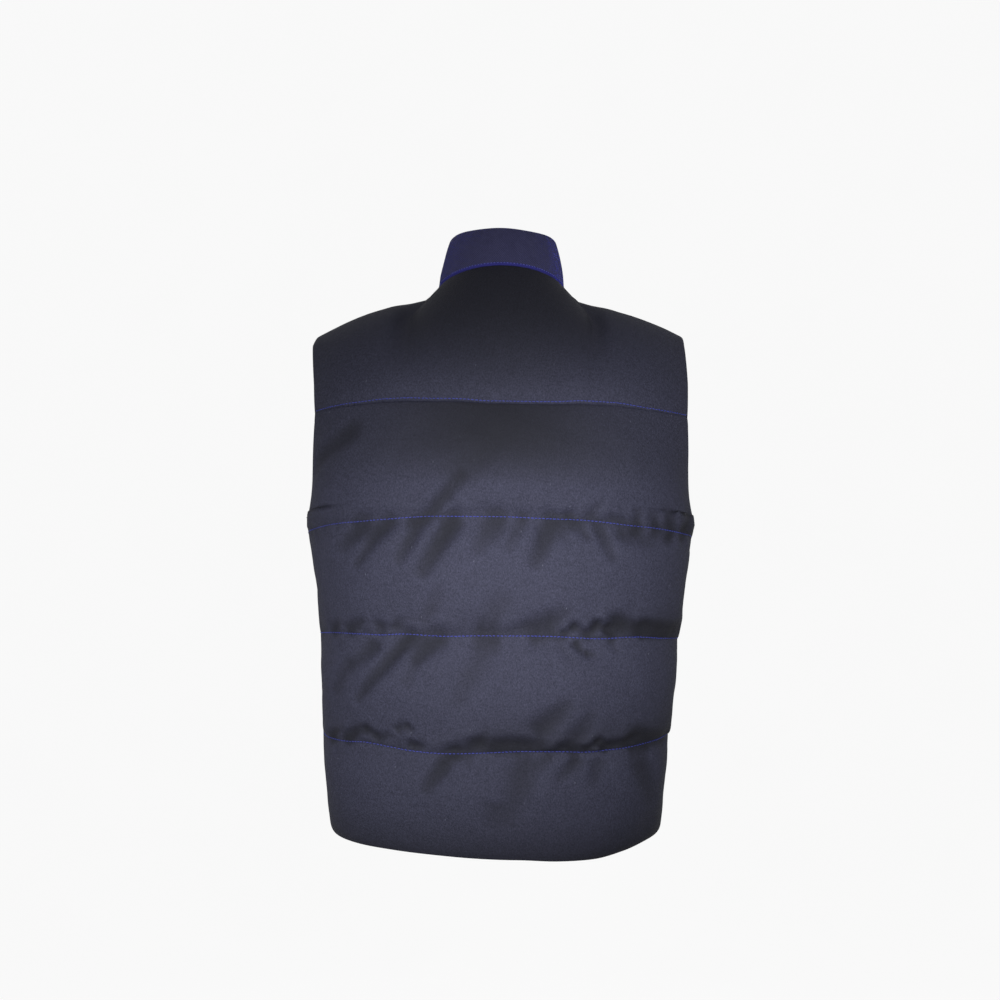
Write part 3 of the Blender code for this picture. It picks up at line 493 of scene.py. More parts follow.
# A fold is a soft trough from one place on a panel to another; width and depth are in metres.
Fold = namedtuple("Fold", "share level share_end level_end width depth")
BACK_FOLDS = (
    Fold(0.62, 3.84, 0.84, 3.52, 0.0120, 0.0016),
    Fold(0.25, 3.02, 0.14, 3.34, 0.0062, 0.0024),
    Fold(0.20, 3.24, 0.02, 3.60, 0.0125, 0.0010),
    Fold(0.51, 2.95, 0.62, 2.77, 0.0098, 0.0020),
    Fold(0.41, 2.97, 0.55, 2.61, 0.0066, 0.0026),
    Fold(0.29, 2.95, 0.37, 2.63, 0.0066, 0.0022),
    Fold(0.33, 2.97, 0.27, 2.95, 0.0057, 0.0014),
    Fold(0.17, 2.95, 0.28, 2.53, 0.0082, 0.0032),
    Fold(0.01, 2.97, 0.07, 2.75, 0.0098, 0.0018),
    Fold(0.28, 2.09, 0.22, 2.35, 0.0074, 0.0008),
    Fold(0.04, 2.03, -0.02, 2.31, 0.0123, 0.0010),
    Fold(-0.09, 2.99, -0.04, 2.75, 0.0066, 0.0015),
    Fold(-0.20, 2.97, -0.14, 2.63, 0.0090, 0.0024),
    Fold(-0.26, 2.97, -0.25, 2.83, 0.0074, 0.0018),
    Fold(-0.29, 2.97, -0.33, 2.85, 0.0057, 0.0020),
    Fold(-0.37, 2.97, -0.43, 2.69, 0.0066, 0.0016),
    Fold(-0.47, 2.93, -0.67, 2.87, 0.0082, 0.0016),
    Fold(-0.26, 3.03, -0.29, 3.11, 0.0041, 0.0016),
    Fold(-0.33, 3.03, -0.37, 3.13, 0.0049, 0.0016),
    Fold(-0.42, 3.03, -0.48, 3.03, 0.0049, 0.0016),
    Fold(-0.52, 2.99, -0.52, 3.11, 0.0057, 0.0020),
    Fold(-0.61, 2.99, -0.58, 3.09, 0.0057, 0.0020),
    Fold(-0.68, 2.97, -0.66, 3.13, 0.0074, 0.0024),
    Fold(-0.77, 2.99, -0.80, 3.13, 0.0074, 0.0020),
    Fold(-0.06, 2.03, -0.12, 2.09, 0.0057, 0.0013),
    Fold(-0.16, 2.05, -0.25, 2.19, 0.0107, 0.0018),
    Fold(-0.27, 2.03, -0.30, 2.09, 0.0041, 0.0022),
    Fold(-0.30, 2.09, -0.34, 2.05, 0.0041, 0.0022),
    Fold(-0.36, 2.03, -0.39, 2.11, 0.0049, 0.0030),
    Fold(-0.39, 2.11, -0.44, 2.07, 0.0049, 0.0030),
    Fold(-0.44, 2.07, -0.47, 1.99, 0.0041, 0.0026),
    Fold(-0.47, 2.11, -0.60, 2.07, 0.0082, 0.0036),
    Fold(-0.60, 2.07, -0.83, 2.09, 0.0082, 0.0036),
    Fold(0.62, 2.03, 0.55, 2.11, 0.0057, 0.0020),
    Fold(0.72, 2.03, 0.67, 2.09, 0.0057, 0.0016),
    Fold(0.47, 2.07, 0.41, 2.05, 0.0049, 0.0014),
    Fold(0.39, 2.07, 0.33, 2.13, 0.0049, 0.0012),
    Fold(-0.31, 1.95, -0.34, 1.87, 0.0041, 0.0024),
    Fold(-0.34, 1.87, -0.38, 1.85, 0.0041, 0.0020),
    Fold(-0.45, 1.97, -0.48, 1.89, 0.0041, 0.0018),
    Fold(-0.24, 1.97, -0.25, 1.87, 0.0057, 0.0010),
    Fold(0.50, 1.89, 0.60, 1.71, 0.0082, 0.0016),
    Fold(0.34, 1.97, 0.57, 1.43, 0.0066, 0.0028),
    Fold(0.23, 1.97, 0.31, 1.79, 0.0082, 0.0024),
    Fold(0.29, 1.93, 0.35, 1.59, 0.0074, 0.0012),
    Fold(0.59, 1.83, 0.70, 1.47, 0.0082, 0.0010),
    Fold(0.03, 1.95, 0.15, 1.45, 0.0107, 0.0009),
    Fold(-0.14, 1.12, -0.27, 1.40, 0.0107, 0.0018),
    Fold(-0.31, 1.10, -0.38, 1.33, 0.0082, 0.0010),
    Fold(0.76, 1.01, 0.68, 1.11, 0.0057, 0.0022),
    Fold(0.64, 1.03, 0.56, 1.15, 0.0057, 0.0028),
    Fold(0.56, 1.15, 0.51, 1.09, 0.0057, 0.0028),
    Fold(0.48, 1.07, 0.44, 1.11, 0.0049, 0.0016),
    Fold(0.41, 1.15, 0.37, 1.23, 0.0041, 0.0020),
    Fold(0.37, 1.23, 0.34, 1.19, 0.0041, 0.0020),
    Fold(0.34, 1.05, 0.29, 1.05, 0.0041, 0.0020),
    Fold(0.15, 1.03, 0.06, 1.09, 0.0066, 0.0026),
    Fold(0.06, 1.09, 0.03, 1.19, 0.0074, 0.0024),
    Fold(-0.01, 1.05, -0.18, 1.07, 0.0074, 0.0030),
    Fold(-0.27, 1.03, -0.38, 1.03, 0.0049, 0.0022),
    Fold(-0.38, 1.03, -0.42, 1.09, 0.0041, 0.0024),
    Fold(-0.42, 1.09, -0.46, 1.01, 0.0041, 0.0024),
    Fold(-0.46, 1.03, -0.59, 1.07, 0.0049, 0.0030),
    Fold(-0.59, 1.07, -0.81, 0.99, 0.0090, 0.0036),
    Fold(0.19, 0.97, 0.28, 0.67, 0.0074, 0.0028),
    Fold(0.10, 0.97, 0.14, 0.87, 0.0057, 0.0016),
    Fold(-0.22, 0.97, -0.19, 0.89, 0.0074, 0.0014),
    Fold(-0.33, 0.93, -0.26, 0.77, 0.0066, 0.0018),
    Fold(-0.12, 0.89, -0.06, 0.39, 0.0123, 0.0012),
    Fold(-0.43, 0.91, -0.40, 0.69, 0.0074, 0.0009),
    Fold(0.00, 0.59, 0.01, 0.37, 0.0115, 0.0008),
    Fold(-0.62, 0.89, -0.71, 0.45, 0.0115, 0.0014),
)
FRONT_FOLDS = (
    Fold(0.46, 3.05, 0.74, 3.42, 0.0104, 0.0019),
    Fold(-0.40, 3.04, -0.70, 3.38, 0.0096, 0.0018),
    Fold(0.62, 2.96, 0.48, 2.52, 0.0074, 0.0016),
    Fold(-0.34, 2.97, -0.50, 2.56, 0.0081, 0.0018),
    Fold(0.30, 1.98, 0.44, 1.60, 0.0074, 0.0016),
    Fold(-0.58, 1.97, -0.46, 1.55, 0.0081, 0.0015),
    Fold(0.52, 0.98, 0.40, 0.66, 0.0074, 0.0016),
    Fold(-0.28, 0.98, -0.38, 0.70, 0.0074, 0.0015),
    Fold(0.20, 2.98, 0.28, 2.70, 0.0052, 0.0012),
    Fold(-0.18, 2.03, -0.16, 2.22, 0.0059, 0.0012),
    Fold(0.66, 2.02, 0.63, 2.20, 0.0074, 0.0014),
    Fold(-0.60, 1.03, -0.57, 1.20, 0.0089, 0.0014),
    Fold(0.24, 1.04, 0.21, 1.22, 0.0067, 0.0011),
    Fold(-0.14, 1.97, -0.22, 1.72, 0.0052, 0.0012),
    Fold(0.74, 3.78, 0.52, 3.94, 0.0074, 0.0011),
    Fold(-0.72, 3.75, -0.50, 3.93, 0.0074, 0.0011),
)
QUILTED = {BACK: (LOW_QUILT, MID_QUILT, TOP_QUILT), FRONT: (LOW_QUILT, MID_QUILT, TOP_QUILT, YOKE)}

WAVES = 14
LINE_WANDER, LINE_WAVE, LINE_REACH = 0.0009, 0.055, 0.35
FRONT_DRIFT_FROM = 0.45  # the share from which a front's lines drift to meet the back's
PUCKER_SPACING, PUCKER_LENGTHS, PUCKER_WIDTHS = (0.5, 1.9), (0.05, 0.16), (0.0026, 0.0056)
SHORT_PUCKERS, LONG_PUCKER = 0.75, 1.9  # the share that is short, and how much longer others are
RIM_HEIGHT, RIM_AT, RIM_WIDTH = 0.20, 1.75, 0.75  # of the soft ridges beside a fold
OFF_LINE, FADE_IN, FADE_OUT = 0.12, 0.35, 0.65  # a fold that starts off a line fades in there
LEAST_PADDING, MOST_RIM = 0.0003, 0.4  # that a fold leaves, and that its ridges add
UNEVENNESS = ((11, 0.75, 0.050), (23, 0.35, 0.018))  # seed, share and size of its waves
UNEVEN_HEIGHT, FULL_UNEVEN_AT = 0.0008, 0.005

FREE_EDGE_RADIUS, FRONT_EDGE_RADIUS = 0.0034, 0.0030
SEAM_RADIUS, YOKE_SEAM_RADIUS = 0.0022, 0.0016
NECK_BLEND_BELOW, NECK_BLEND_BESIDE = 0.012, 0.010


def waves(seed, x, y, length):
    """Smooth unevenness of about -1 to 1 whose bumps are about that length across."""
    random = np.random.default_rng(seed)
    total = 0.0
    for _ in range(WAVES):
        turn, phase = random.uniform(0, 2 * math.pi, 2)
        pitch = 2 * math.pi / (length * random.uniform(1.3, 2.8))
        total = total + np.sin(pitch * (x * math.cos(turn) + y * math.sin(turn)) + phase)
    return total / math.sqrt(WAVES) * 0.9


def puckers(side, line, settings):
    """The small folds that a quilting line draws up on both of its sides."""
    random = np.random.default_rng(100 * line + 7 + side)
    reach = half_length(side, line)
    made = []
    for up in (1, -1):
        x = -reach
        while x < reach:
            x += random.uniform(*PUCKER_SPACING) * settings.pucker_pitch
            long = random.uniform(*PUCKER_LENGTHS) * (1 if random.random() < SHORT_PUCKERS else LONG_PUCKER)
            sway = (random.uniform(-0.30, 0.30) + 0.1 * up) * long * LEVEL_HEIGHT
            width = random.uniform(*PUCKER_WIDTHS)
            depth = random.uniform(0.25, 1.0) ** 1.5 * settings.pucker_depth
            start = line + up * 0.012
            made.append(Fold(x / reach, start, (x + sway) / reach, line + up * long, width, depth))
    return made


def troughs(folds, x, y, reach):
    """How deep folds lie at points x and y of a panel laid flat."""
    deep = np.zeros(np.broadcast(x, y).shape)
    for fold in folds:
        here_y, end_y = fold.level * LEVEL_HEIGHT, fold.level_end * LEVEL_HEIGHT
        margin = 3 * fold.width
        low, high = sorted((here_y, end_y))
        rows = (y[:, 0] > low - margin) & (y[:, 0] < high + margin)
        if not rows.any():
            continue
        here_x, run_y = fold.share * reach[rows], end_y - here_y
        run_x = fold.share_end * reach[rows] - here_x
        dx, dy = (x[rows] - here_x), (y[rows] - here_y)
        t = np.clip((dx * run_x + dy * run_y) / (run_x**2 + run_y**2), 0.0, 1.0)
        away = np.hypot(dx - run_x * t, dy - run_y * t) / (fold.width * (1.3 - 0.4 * t))
        rim = RIM_HEIGHT * np.exp(-(((away - RIM_AT) / RIM_WIDTH) ** 2))
        between_lines = abs(fold.level - round(fold.level)) > OFF_LINE
        along = (1 - FADE_OUT * t) * (ease(t / FADE_IN) * 1.2 if between_lines else 1.0)
        deep[rows] += fold.depth * along * (np.exp(-away * away) - rim)
    return deep


def shifted(side, shares, levels):
    """Levels as they are sewn: each seam wanders and drifts a little."""
    shift = np.zeros(np.broadcast(shares, levels).shape)
    for line in (LOW_QUILT, MID_QUILT, TOP_QUILT, YOKE):
        reach = half_length(side, line)
        most = LINE_WANDER if line < YOKE else 0.0
        wander = waves(40 + line + side, shares * reach, 0.0, LINE_WAVE) * most
        wander = wander * np.clip((1 - np.abs(shares)) * 12, 0, 1)
        if side == BACK:
            wander = wander + DRIFT_AT[line](shares)
        else:
            meeting = ease((np.abs(shares) - FRONT_DRIFT_FROM) / (1 - FRONT_DRIFT_FROM))
            wander = wander + DRIFT_AT[line](np.sign(shares)) * meeting
        near = 1 - ease(np.abs(levels - line) / LINE_REACH)
        shift = shift + wander * near / LEVEL_HEIGHT
    return levels + shift


def swell(side, shares, levels, settings):
    """How far the padded shell stands outside its stitched level, and the shade painted on its slopes."""
    band = np.clip(levels.astype(int), HEM, YOKE)
    tau = np.clip(levels - band, 0.0, 1.0)
    height, peak, over, under, sag_from, shade_over, shade_under = (
        np.array([getattr(row, field) for row in BANDS])[band] for field in Band._fields[1:]
    )
    sunk = ease((-shares - sag_from) / SAG_RUN)
    away = np.where(tau < peak, (peak - tau) / peak, (tau - peak) / (1 - peak))
    power = np.where(tau < peak, under * (1 - SAG * sunk), over)
    rise = settings.puff * height * np.cos(np.minimum(away, 0.9999) * math.pi / 2) ** power
    reach = np.array([half_length(side, level) for level in levels[:, 0]])[:, None]
    side_fade = SIDE_FADE * (0.55 + 0.45 * ease((levels - 3.05) / 0.5))
    full = ease((1 - np.abs(shares)) * reach / side_fade)
    if side == FRONT:
        full = full * ease((np.abs(shares) * reach - FRONT_EDGE_X) / FRONT_EDGE_FADE)
    below = np.where(tau < peak, away**2, 0.0) * (shade_under + (SUNK_SHADE - shade_under) * sunk)
    start = peak - SHADE_STARTS
    above = np.sqrt(ease((tau - start) / (1 - start) * SHADE_RISE)) * shade_over
    shade = np.maximum(below, above * np.exp(-((shares / SHADE_REACH) ** 2)))
    return rise * (THINNEST + (1 - THINNEST) * full), shade, reach


def shell_offset(side, shares, levels, settings):
    """The shell's distance outside the stitched surface, with its folds and its seams' dips, and the shade
    painted into its folds and onto its slopes.
    """
    rise, shade, reach = swell(side, shares, levels, settings)
    x, y = shares * reach, levels * LEVEL_HEIGHT + 0 * shares
    folds = list(BACK_FOLDS if side == BACK else FRONT_FOLDS)
    for line in QUILTED[side]:
        folds += puckers(side, line, settings)
    room = SHELL_OFFSET + rise - LEAST_PADDING
    deep = np.maximum(troughs(folds, x, y, reach) * settings.fold_depth, -MOST_RIM * rise)
    sunk = room * (1 - np.exp(-np.maximum(deep, 0.0) / room)) + np.minimum(deep, 0.0)
    out = SHELL_OFFSET + rise - sunk * np.minimum(1.0, 0.35 + rise / 0.003)
    uneven = sum(share * waves(seed + side, x, y, size) for seed, share, size in UNEVENNESS)
    # painted shade: the colour darkens in folds and where the band's slopes turn from the light
    crease = 1 - (1 - shade) * np.exp(-np.maximum(deep, 0.0) / CREASE_SHADE_DEPTH)
    return out + uneven * UNEVEN_HEIGHT * np.minimum(1.0, rise / FULL_UNEVEN_AT), crease, reach


def dips(side, shares, levels, reach, hand):
    """The factors by which seams and free edges round the shell and its lining."""
    to_side = (1 - np.abs(shares)) * reach
    free = ease((levels - UNDERARM) / 0.08)
    edge = 1 - free * (1 - rounding(to_side, FREE_EDGE_RADIUS))
    edge = edge * rounding(levels * LEVEL_HEIGHT, HEM_ROLL)
    if hand:
        edge = edge * rounding(np.abs(shares) * reach - FRONT_EDGE_X, FRONT_EDGE_RADIUS)
    seam = 1 - (1 - free) * (1 - rounding(to_side, SEAM_RADIUS))
    seam = seam * rounding((SHOULDER - levels) * YOKE_HEIGHT, SEAM_RADIUS)
    if side == BACK:
        seam = seam * (0.8 + 0.2 * rounding(np.abs(levels - YOKE) * LEVEL_HEIGHT, YOKE_SEAM_RADIUS))
    return seam, edge


def panel_layers(side, shares, levels, settings, hand=0):
    """The shell's and the lining's points for a grid of shares by levels, and the shade painted into their
    folds and slopes.
    """
    rows = levels[:, None]
    sewn = np.clip(shifted(side, shares, rows), HEM, SHOULDER)
    normal, rise = cloth_directions(side, shares, levels)
    middle = cloth_points(side, shares, levels) + rise * (sewn - rows)[..., None]
    out, crease, reach = shell_offset(side, shares, rows, settings)
    neck = NECKLINES[side].share
    below = (SHOULDER - rows) * YOKE_HEIGHT
    beside = (np.abs(shares) - neck) * reach
    at_neck = (1 - ease(below / NECK_BLEND_BELOW)) * (1 - ease(beside / NECK_BLEND_BESIDE))
    turn = np.minimum(np.abs(shares) / neck, 1.0)
    toward = neck_seam_normals(np.copysign(turn if side == BACK else 2 - turn, -shares))
    normal = unit(normal * (1 - at_neck[..., None]) + toward * at_neck[..., None])
    out = out * (1 - at_neck) + COLLAR_HALF_WALL * at_neck
    seam, edge = dips(side, shares, rows, reach, hand)
    core = (SHELL_OFFSET - LINING_OFFSET) / 2
    out = core + (out - settings.seam_dip * (1 - seam) - core) * edge
    inside = (LINING_OFFSET + core) * edge - core
    return middle + normal * out[..., None], middle - normal * inside[..., None], crease, reach


# ---------------------------------------------------------------- meshes

HEM_LEVELS, HEM_LEVELS_END = (0.0, 0.0006, 0.002, 0.0045, 0.008, 0.013, 0.020, 0.030, 0.042), 0.055
EDGE_PLACES = (0.0062, 0.0044, 0.0030, 0.0019, 0.0011, 0.0005, 0.00015, 0.0)  # from a free edge
GRADED_RUN, EDGE_SHARES = 0.030, 0.93


def cloth_wall(name, outer, inner, widths, heights, materials, crease=None):
    """A closed wall of two layers of points, with a UV map of its cloth laid flat, in metres."""
    rows, columns = outer.shape[0] - 1, outer.shape[1] - 1
    bm = bmesh.new()
    bmesh.ops.create_grid(bm, x_segments=columns, y_segments=rows, size=0.5)
    raised = bmesh.ops.extrude_face_region(bm, geom=bm.faces[:])
    layer = [v for v in raised["geom"] if isinstance(v, bmesh.types.BMVert)]
    bmesh.ops.translate(bm, verts=layer, vec=(0, 0, 1))
    bmesh.ops.recalc_face_normals(bm, faces=bm.faces)
    for face in bm.faces:
        face.smooth = True
        face.material_index = 1 if face.calc_center_median().z < 0.25 else 0
    mesh = bpy.data.meshes.new(name)
    bm.to_mesh(mesh)
    bm.free()
    flat = np.empty(len(mesh.vertices) * 3)
    mesh.vertices.foreach_get("co", flat)
    flat = flat.reshape(-1, 3)
    i = np.rint((flat[:, 0] + 0.5) * columns).astype(int)
    j = np.rint((flat[:, 1] + 0.5) * rows).astype(int)
    points = np.where((flat[:, 2] > 0.5)[:, None], outer[j, i], inner[j, i])
    mesh.vertices.foreach_set("co", points.ravel())
    corners = np.empty(len(mesh.loops), int)
    mesh.loops.foreach_get("vertex_index", corners)
    laid = np.stack([widths[j, i], heights[j, i]], -1)[corners]
    mesh.uv_layers.new(name="laid_flat").data.foreach_set("uv", laid.ravel())
    # the shade painted into the cloth's colour, for each point
    if crease is not None:
        mesh.attributes.new("crease", "FLOAT", "POINT").data.foreach_set("value", crease[j, i])
    for cloth in materials:
        mesh.materials.append(cloth)
    mesh.update()
    return upright(mesh, name)


def linked(name, data):
    """A new object in the scene."""
    made = bpy.data.objects.new(name, data)
    bpy.context.scene.collection.objects.link(made)
    return made


def upright(mesh, name):
    """An object from a closed mesh, its faces turned outwards."""
    bm = bmesh.new()
    bm.from_mesh(mesh)
    if bm.calc_volume(signed=True) < 0:
        bmesh.ops.reverse_faces(bm, faces=bm.faces)
        bm.to_mesh(mesh)
    bm.free()
    return linked(name, mesh)


def graded(length, near, middle, first=True):
    """Places from 0 to 1 along a length, close together near its end and, if asked, its start."""
    places, at = [0.0], 0.0
    while at < length:
        away = min(at, length - at) if first else length - at
        at += near + (middle - near) * ease(away / GRADED_RUN)
        places.append(at)
    return np.array(places) / places[-1]


def body_levels(settings):
    """Levels of the rows up to the yoke seam, close together beside each seam."""
    rows = [np.array(HEM_LEVELS)]
    near, middle = settings.grid * 0.56, settings.grid * 1.45
    for band in range(HEM, YOKE):
        low = HEM_LEVELS_END if band == HEM else 0.0
        spread = graded((1 - low) * LEVEL_HEIGHT, near, middle, first=band != HEM)
        rows.append(band + low + (1 - low) * spread[:-1])
    rows.append(np.array([YOKE]))
    return np.concatenate(rows)


def yoke_levels(settings):
    return YOKE + graded(YOKE_HEIGHT, settings.grid * 0.5, settings.grid * 1.35)


def half_shares(side, settings):
    """Shares of a half row, close together where its free edge is rounded over."""
    reach = half_length(side, YOKE)
    plain = reach - EDGE_PLACES[0]
    count = max(int(plain / settings.grid), 1)
    return np.concatenate([np.linspace(0, plain, count + 1), reach - np.array(EDGE_PLACES[1:])]) / reach


def panel(name, side, shares, levels, settings, materials, hand=0):
    """A padded panel, with its cloth laid flat in metres from the midline and the yoke seam."""
    outer, inner, crease, reach = panel_layers(side, shares, levels, settings, hand)
    heights = (levels - YOKE) * np.where(levels > YOKE, YOKE_HEIGHT, LEVEL_HEIGHT)
    return cloth_wall(name, outer, inner, shares * reach, heights[:, None] + 0 * shares, materials, crease)


def back_panel(name, levels, settings, materials):
    half = half_shares(BACK, settings)
    shares = np.tile(np.concatenate([-half[:0:-1], half]), (len(levels), 1))
    return panel(name, BACK, shares, levels, settings, materials)


def front_panel(name, hand, levels, settings, materials):
    places = half_shares(FRONT, settings)
    places = np.unique(np.concatenate([places, 1 - places[places > EDGE_SHARES]]))
    starts = np.array([share_at(FRONT, FRONT_EDGE_X, level) for level in levels])
    shares = hand * (starts[:, None] + places[None, :] * (1 - starts[:, None]))
    return panel(name, FRONT, shares, levels, settings, materials, hand)


# ---------------------------------------------------------------- shader helpers


class Value:
    """A number inside a material: arithmetic on it adds the Math nodes."""

    def __init__(self, finish, socket):
        self.finish, self.socket = finish, socket

    def using(self, operation, *others):
        return self.finish.worked_out(operation, self, *others)

    def swapped(self, operation, first):
        return self.finish.worked_out(operation, first, self)

    __add__ = __radd__ = partialmethod(using, "ADD")
    __sub__ = partialmethod(using, "SUBTRACT")
    __rsub__ = partialmethod(swapped, "SUBTRACT")
    __mul__ = __rmul__ = partialmethod(using, "MULTIPLY")
    __truediv__ = partialmethod(using, "DIVIDE")

    def above(self, low, high):
        """0 below low, 1 above high and a smooth step between."""
        inputs = {"Value": self, "From Min": low, "From Max": high}
        return self.finish.number("ShaderNodeMapRange", inputs, interpolation_type="SMOOTHSTEP")


class Finish:
    """A procedural material: one method adds any node, another feeds the shader."""

    def __init__(self, name):
        self.material = bpy.data.materials.new(name)
        self.material.use_nodes = True
        self.tree = self.material.node_tree
        self.shader = self.tree.nodes["Principled BSDF"]

    def feed(self, socket, value):
        if isinstance(value, Value):
            self.tree.links.new(value.socket, socket)
        elif isinstance(value, bpy.types.NodeSocket):
            self.tree.links.new(value, socket)
        elif socket.type == "RGBA" and len(value) == 3:
            socket.default_value = (*value, 1.0)
        else:
            socket.default_value = value

    def node(self, kind, inputs=None, **settings):
        made = self.tree.nodes.new(kind)
        for key, value in settings.items():
            setattr(made, key, value)
        for key, value in (inputs or {}).items():
            self.feed(made.inputs[key], value)
        return made

    def number(self, kind, inputs, output=0, **settings):
        """One output of a new node, to reckon with."""
        return Value(self, self.node(kind, inputs, **settings).outputs[output])

    def worked_out(self, operation, *values):
        return self.number("ShaderNodeMath", dict(enumerate(values)), operation=operation)

    def place(self, stretch=(1, 1, 1), turn=(0, 0, 0), laid_flat=False):
        """Coordinates on the object, or on its cloth laid flat, in metres."""
        if laid_flat:
            source = self.node("ShaderNodeUVMap", uv_map="laid_flat").outputs[0]
        else:
            source = self.node("ShaderNodeTexCoord").outputs["Object"]
        mapped = self.node("ShaderNodeMapping", {"Vector": source, "Scale": stretch, "Rotation": turn})
        return mapped.outputs[0]

    def flat_place(self):
        """How far across and along its cloth laid flat a point is."""
        split = self.node("ShaderNodeSeparateXYZ", {"Vector": self.place(laid_flat=True)})
        return Value(self, split.outputs[0]), Value(self, split.outputs[1])

    def noise(self, where, scale, detail=2.0, roughness=0.5, distortion=0.0):
        inputs = {"Vector": where, "Scale": scale, "Detail": detail, "Roughness": roughness}
        return self.number("ShaderNodeTexNoise", inputs | {"Distortion": distortion})

    def mix(self, factor, first, second):
        """A colour between two others."""
        inputs = {0: factor, 6: first, 7: second}
        return self.node("ShaderNodeMix", inputs, data_type="RGBA").outputs[2]

    def bump(self, height, distance, strength=1.0):
        inputs = {"Height": height, "Distance": distance, "Strength": strength}
        return self.node("ShaderNodeBump", inputs).outputs[0]

    def lint(self, lean):
        """Sparse short hairs that lie on the cloth, as a mask."""
        where = self.place(stretch=(62.0, 11.0, 1.0), turn=(0, 0, lean), laid_flat=True)
        cells = self.node("ShaderNodeTexVoronoi", {"Vector": where, "Scale": 1.0}, voronoi_dimensions="2D")
        hair = 1 - Value(self, cells.outputs["Distance"]).above(0.007, 0.016)
        chosen = self.number("ShaderNodeSeparateColor", {"Color": cells.outputs["Color"]}, 1)
        return hair * chosen.above(0.86, 0.88)

    def finished(self, **inputs):
        for key, value in inputs.items():
            self.feed(self.shader.inputs[key.replace("_", " ")], value)
        return self.material


def brushed_wool(colours):
    """A milled charcoal wool flannel with a short nap, darker and lighter fibres and pale flecks, and
    painted shade in its folds and on slopes turned from the light.
    """
    wool = Finish("brushed_wool")
    where = wool.place()
    combed = wool.place(stretch=(1.0, 1.0, 0.30), turn=(0.12, 0.08, 0.0))
    fibre = wool.noise(combed, 1500.0, detail=3.0, roughness=0.65)
    nap = wool.noise(where, 520.0, detail=4.0, roughness=0.7)
    tuft = wool.noise(where, 130.0, detail=3.0, roughness=0.6, distortion=0.4)
    cloud = wool.noise(where, 16.0, detail=2.0)
    weave = wool.node("ShaderNodeTexVoronoi", {"Vector": where, "Scale": 950.0})
    fleck = 1 - Value(wool, weave.outputs["Distance"]).above(0.10, 0.24)
    chosen = wool.number("ShaderNodeSeparateColor", {"Color": weave.outputs["Color"]})
    fleck = fleck * chosen.above(0.72, 0.80)
    lint = wool.lint(0.45).using("MAXIMUM", wool.lint(-0.25))
    tone = (fibre * 0.50 + nap * 0.46 + tuft * 0.05 + cloud * 0.03).above(0.35, 0.71)
    colour = wool.mix(tone, colours.cloth_dark, colours.cloth_light)
    colour = wool.mix(fleck * 0.42, colour, colours.cloth_fleck)
    colour = wool.mix(lint * 0.6, colour, (0.16, 0.17, 0.22))
    # painted shade: the colour darkens in folds, on undersides and on slopes turned from the light
    crease = wool.number("ShaderNodeAttribute", {}, "Fac", attribute_name="crease")
    colour = wool.mix((crease * 0.92).using("MINIMUM", 0.84), colour, (0.0046, 0.0044, 0.0050))
    relief = fibre * 0.80 + nap * 1.10 + tuft * 0.15
    return wool.finished(
        Base_Color=colour,
        Roughness=0.62 + tuft * 0.06,
        Specular_IOR_Level=0.18,
        Specular_Tint=(0.78, 0.82, 1.0, 1.0),
        Normal=wool.bump(relief, 0.00085, 0.75),
    )


def lining_satin(colours):
    """A plain slippery lining of fine ribs."""
    satin = Finish("lining_satin")
    rib = satin.number("ShaderNodeTexWave", {"Vector": satin.place(laid_flat=True), "Scale": 620.0}, 1)
    cloth = satin.noise(satin.place(), 45.0, detail=3.0)
    slub = satin.noise(satin.place(stretch=(1.0, 1.0, 0.1)), 700.0, detail=2.0)
    tone = (rib * 0.25 + cloth * 0.45 + slub * 0.4).above(0.25, 0.85)
    return satin.finished(
        Base_Color=satin.mix(tone, (0.008, 0.009, 0.020), colours.lining),
        Roughness=0.38 + cloth * 0.2,
        Specular_IOR_Level=0.45,
        Normal=satin.bump(rib * 0.3 + cloth * 1.2 + slub * 0.3, 0.0004, 0.6),
    )


def pique_knit(colours):
    """A fine knit with rows of pin-dots, and a bluer sheen painted where the cloth turns in to the seam."""
    knit = Finish("pique_knit")
    across, up = knit.flat_place()
    pitch = 2 * math.pi / 0.0021
    dots = (across * pitch).using("SINE") * (up * pitch).using("SINE")
    small = (across * (pitch * 2.1) + up * 300).using("SINE") * (up * (pitch * 1.9)).using("SINE")
    uneven = knit.noise(knit.place(), 90.0, detail=3.0)
    fuzz = knit.noise(knit.place(), 1100.0, detail=3.0, roughness=0.7)
    cell = (dots * 0.40 + small * 0.22 + fuzz * 0.55 + uneven * 0.30).above(0.10, 0.75)
    colour = knit.mix(cell, colours.knit_dark, colours.knit_light)
    pale = (dots * (0.4 + fuzz)).above(0.72, 0.95) * uneven.above(0.45, 0.65)
    colour = knit.mix(pale * 0.55, colour, (0.085, 0.085, 0.080))
    # painted sheen: a bluer band where the cloth turns in to the seam
    seam = 1 - up.above(0.0018, 0.0046)
    colour = knit.mix(seam * 0.85, colour, colours.knit_seam_sheen)
    return knit.finished(
        Base_Color=colour,
        Roughness=0.80 + fuzz * 0.15,
        Specular_IOR_Level=0.15,
        Sheen_Weight=0.30,
        Sheen_Roughness=0.25,
        Sheen_Tint=(0.10, 0.11, 1.0, 1.0),
        Normal=knit.bump(dots * 0.5 + small * 0.35 + fuzz * 0.6, 0.00035, 0.8),
    )


def sewing_thread(name, colour, pale):
    """A twisted polyester thread."""
    thread = Finish(name)
    twisted = thread.place(turn=(0.6, 0.5, 0.4))
    ply = thread.number("ShaderNodeTexWave", {"Vector": twisted, "Scale": 900.0}, 1)
    worn = thread.noise(thread.place(), 240.0, detail=2.0)
    tone = (ply * 0.5 + worn * 0.7).above(0.2, 0.9)
    return thread.finished(
        Base_Color=thread.mix(tone, colour, pale),
        Roughness=0.45 + worn * 0.25,
        Specular_IOR_Level=0.35,
        Normal=thread.bump(ply, 0.00012, 0.6),
    )


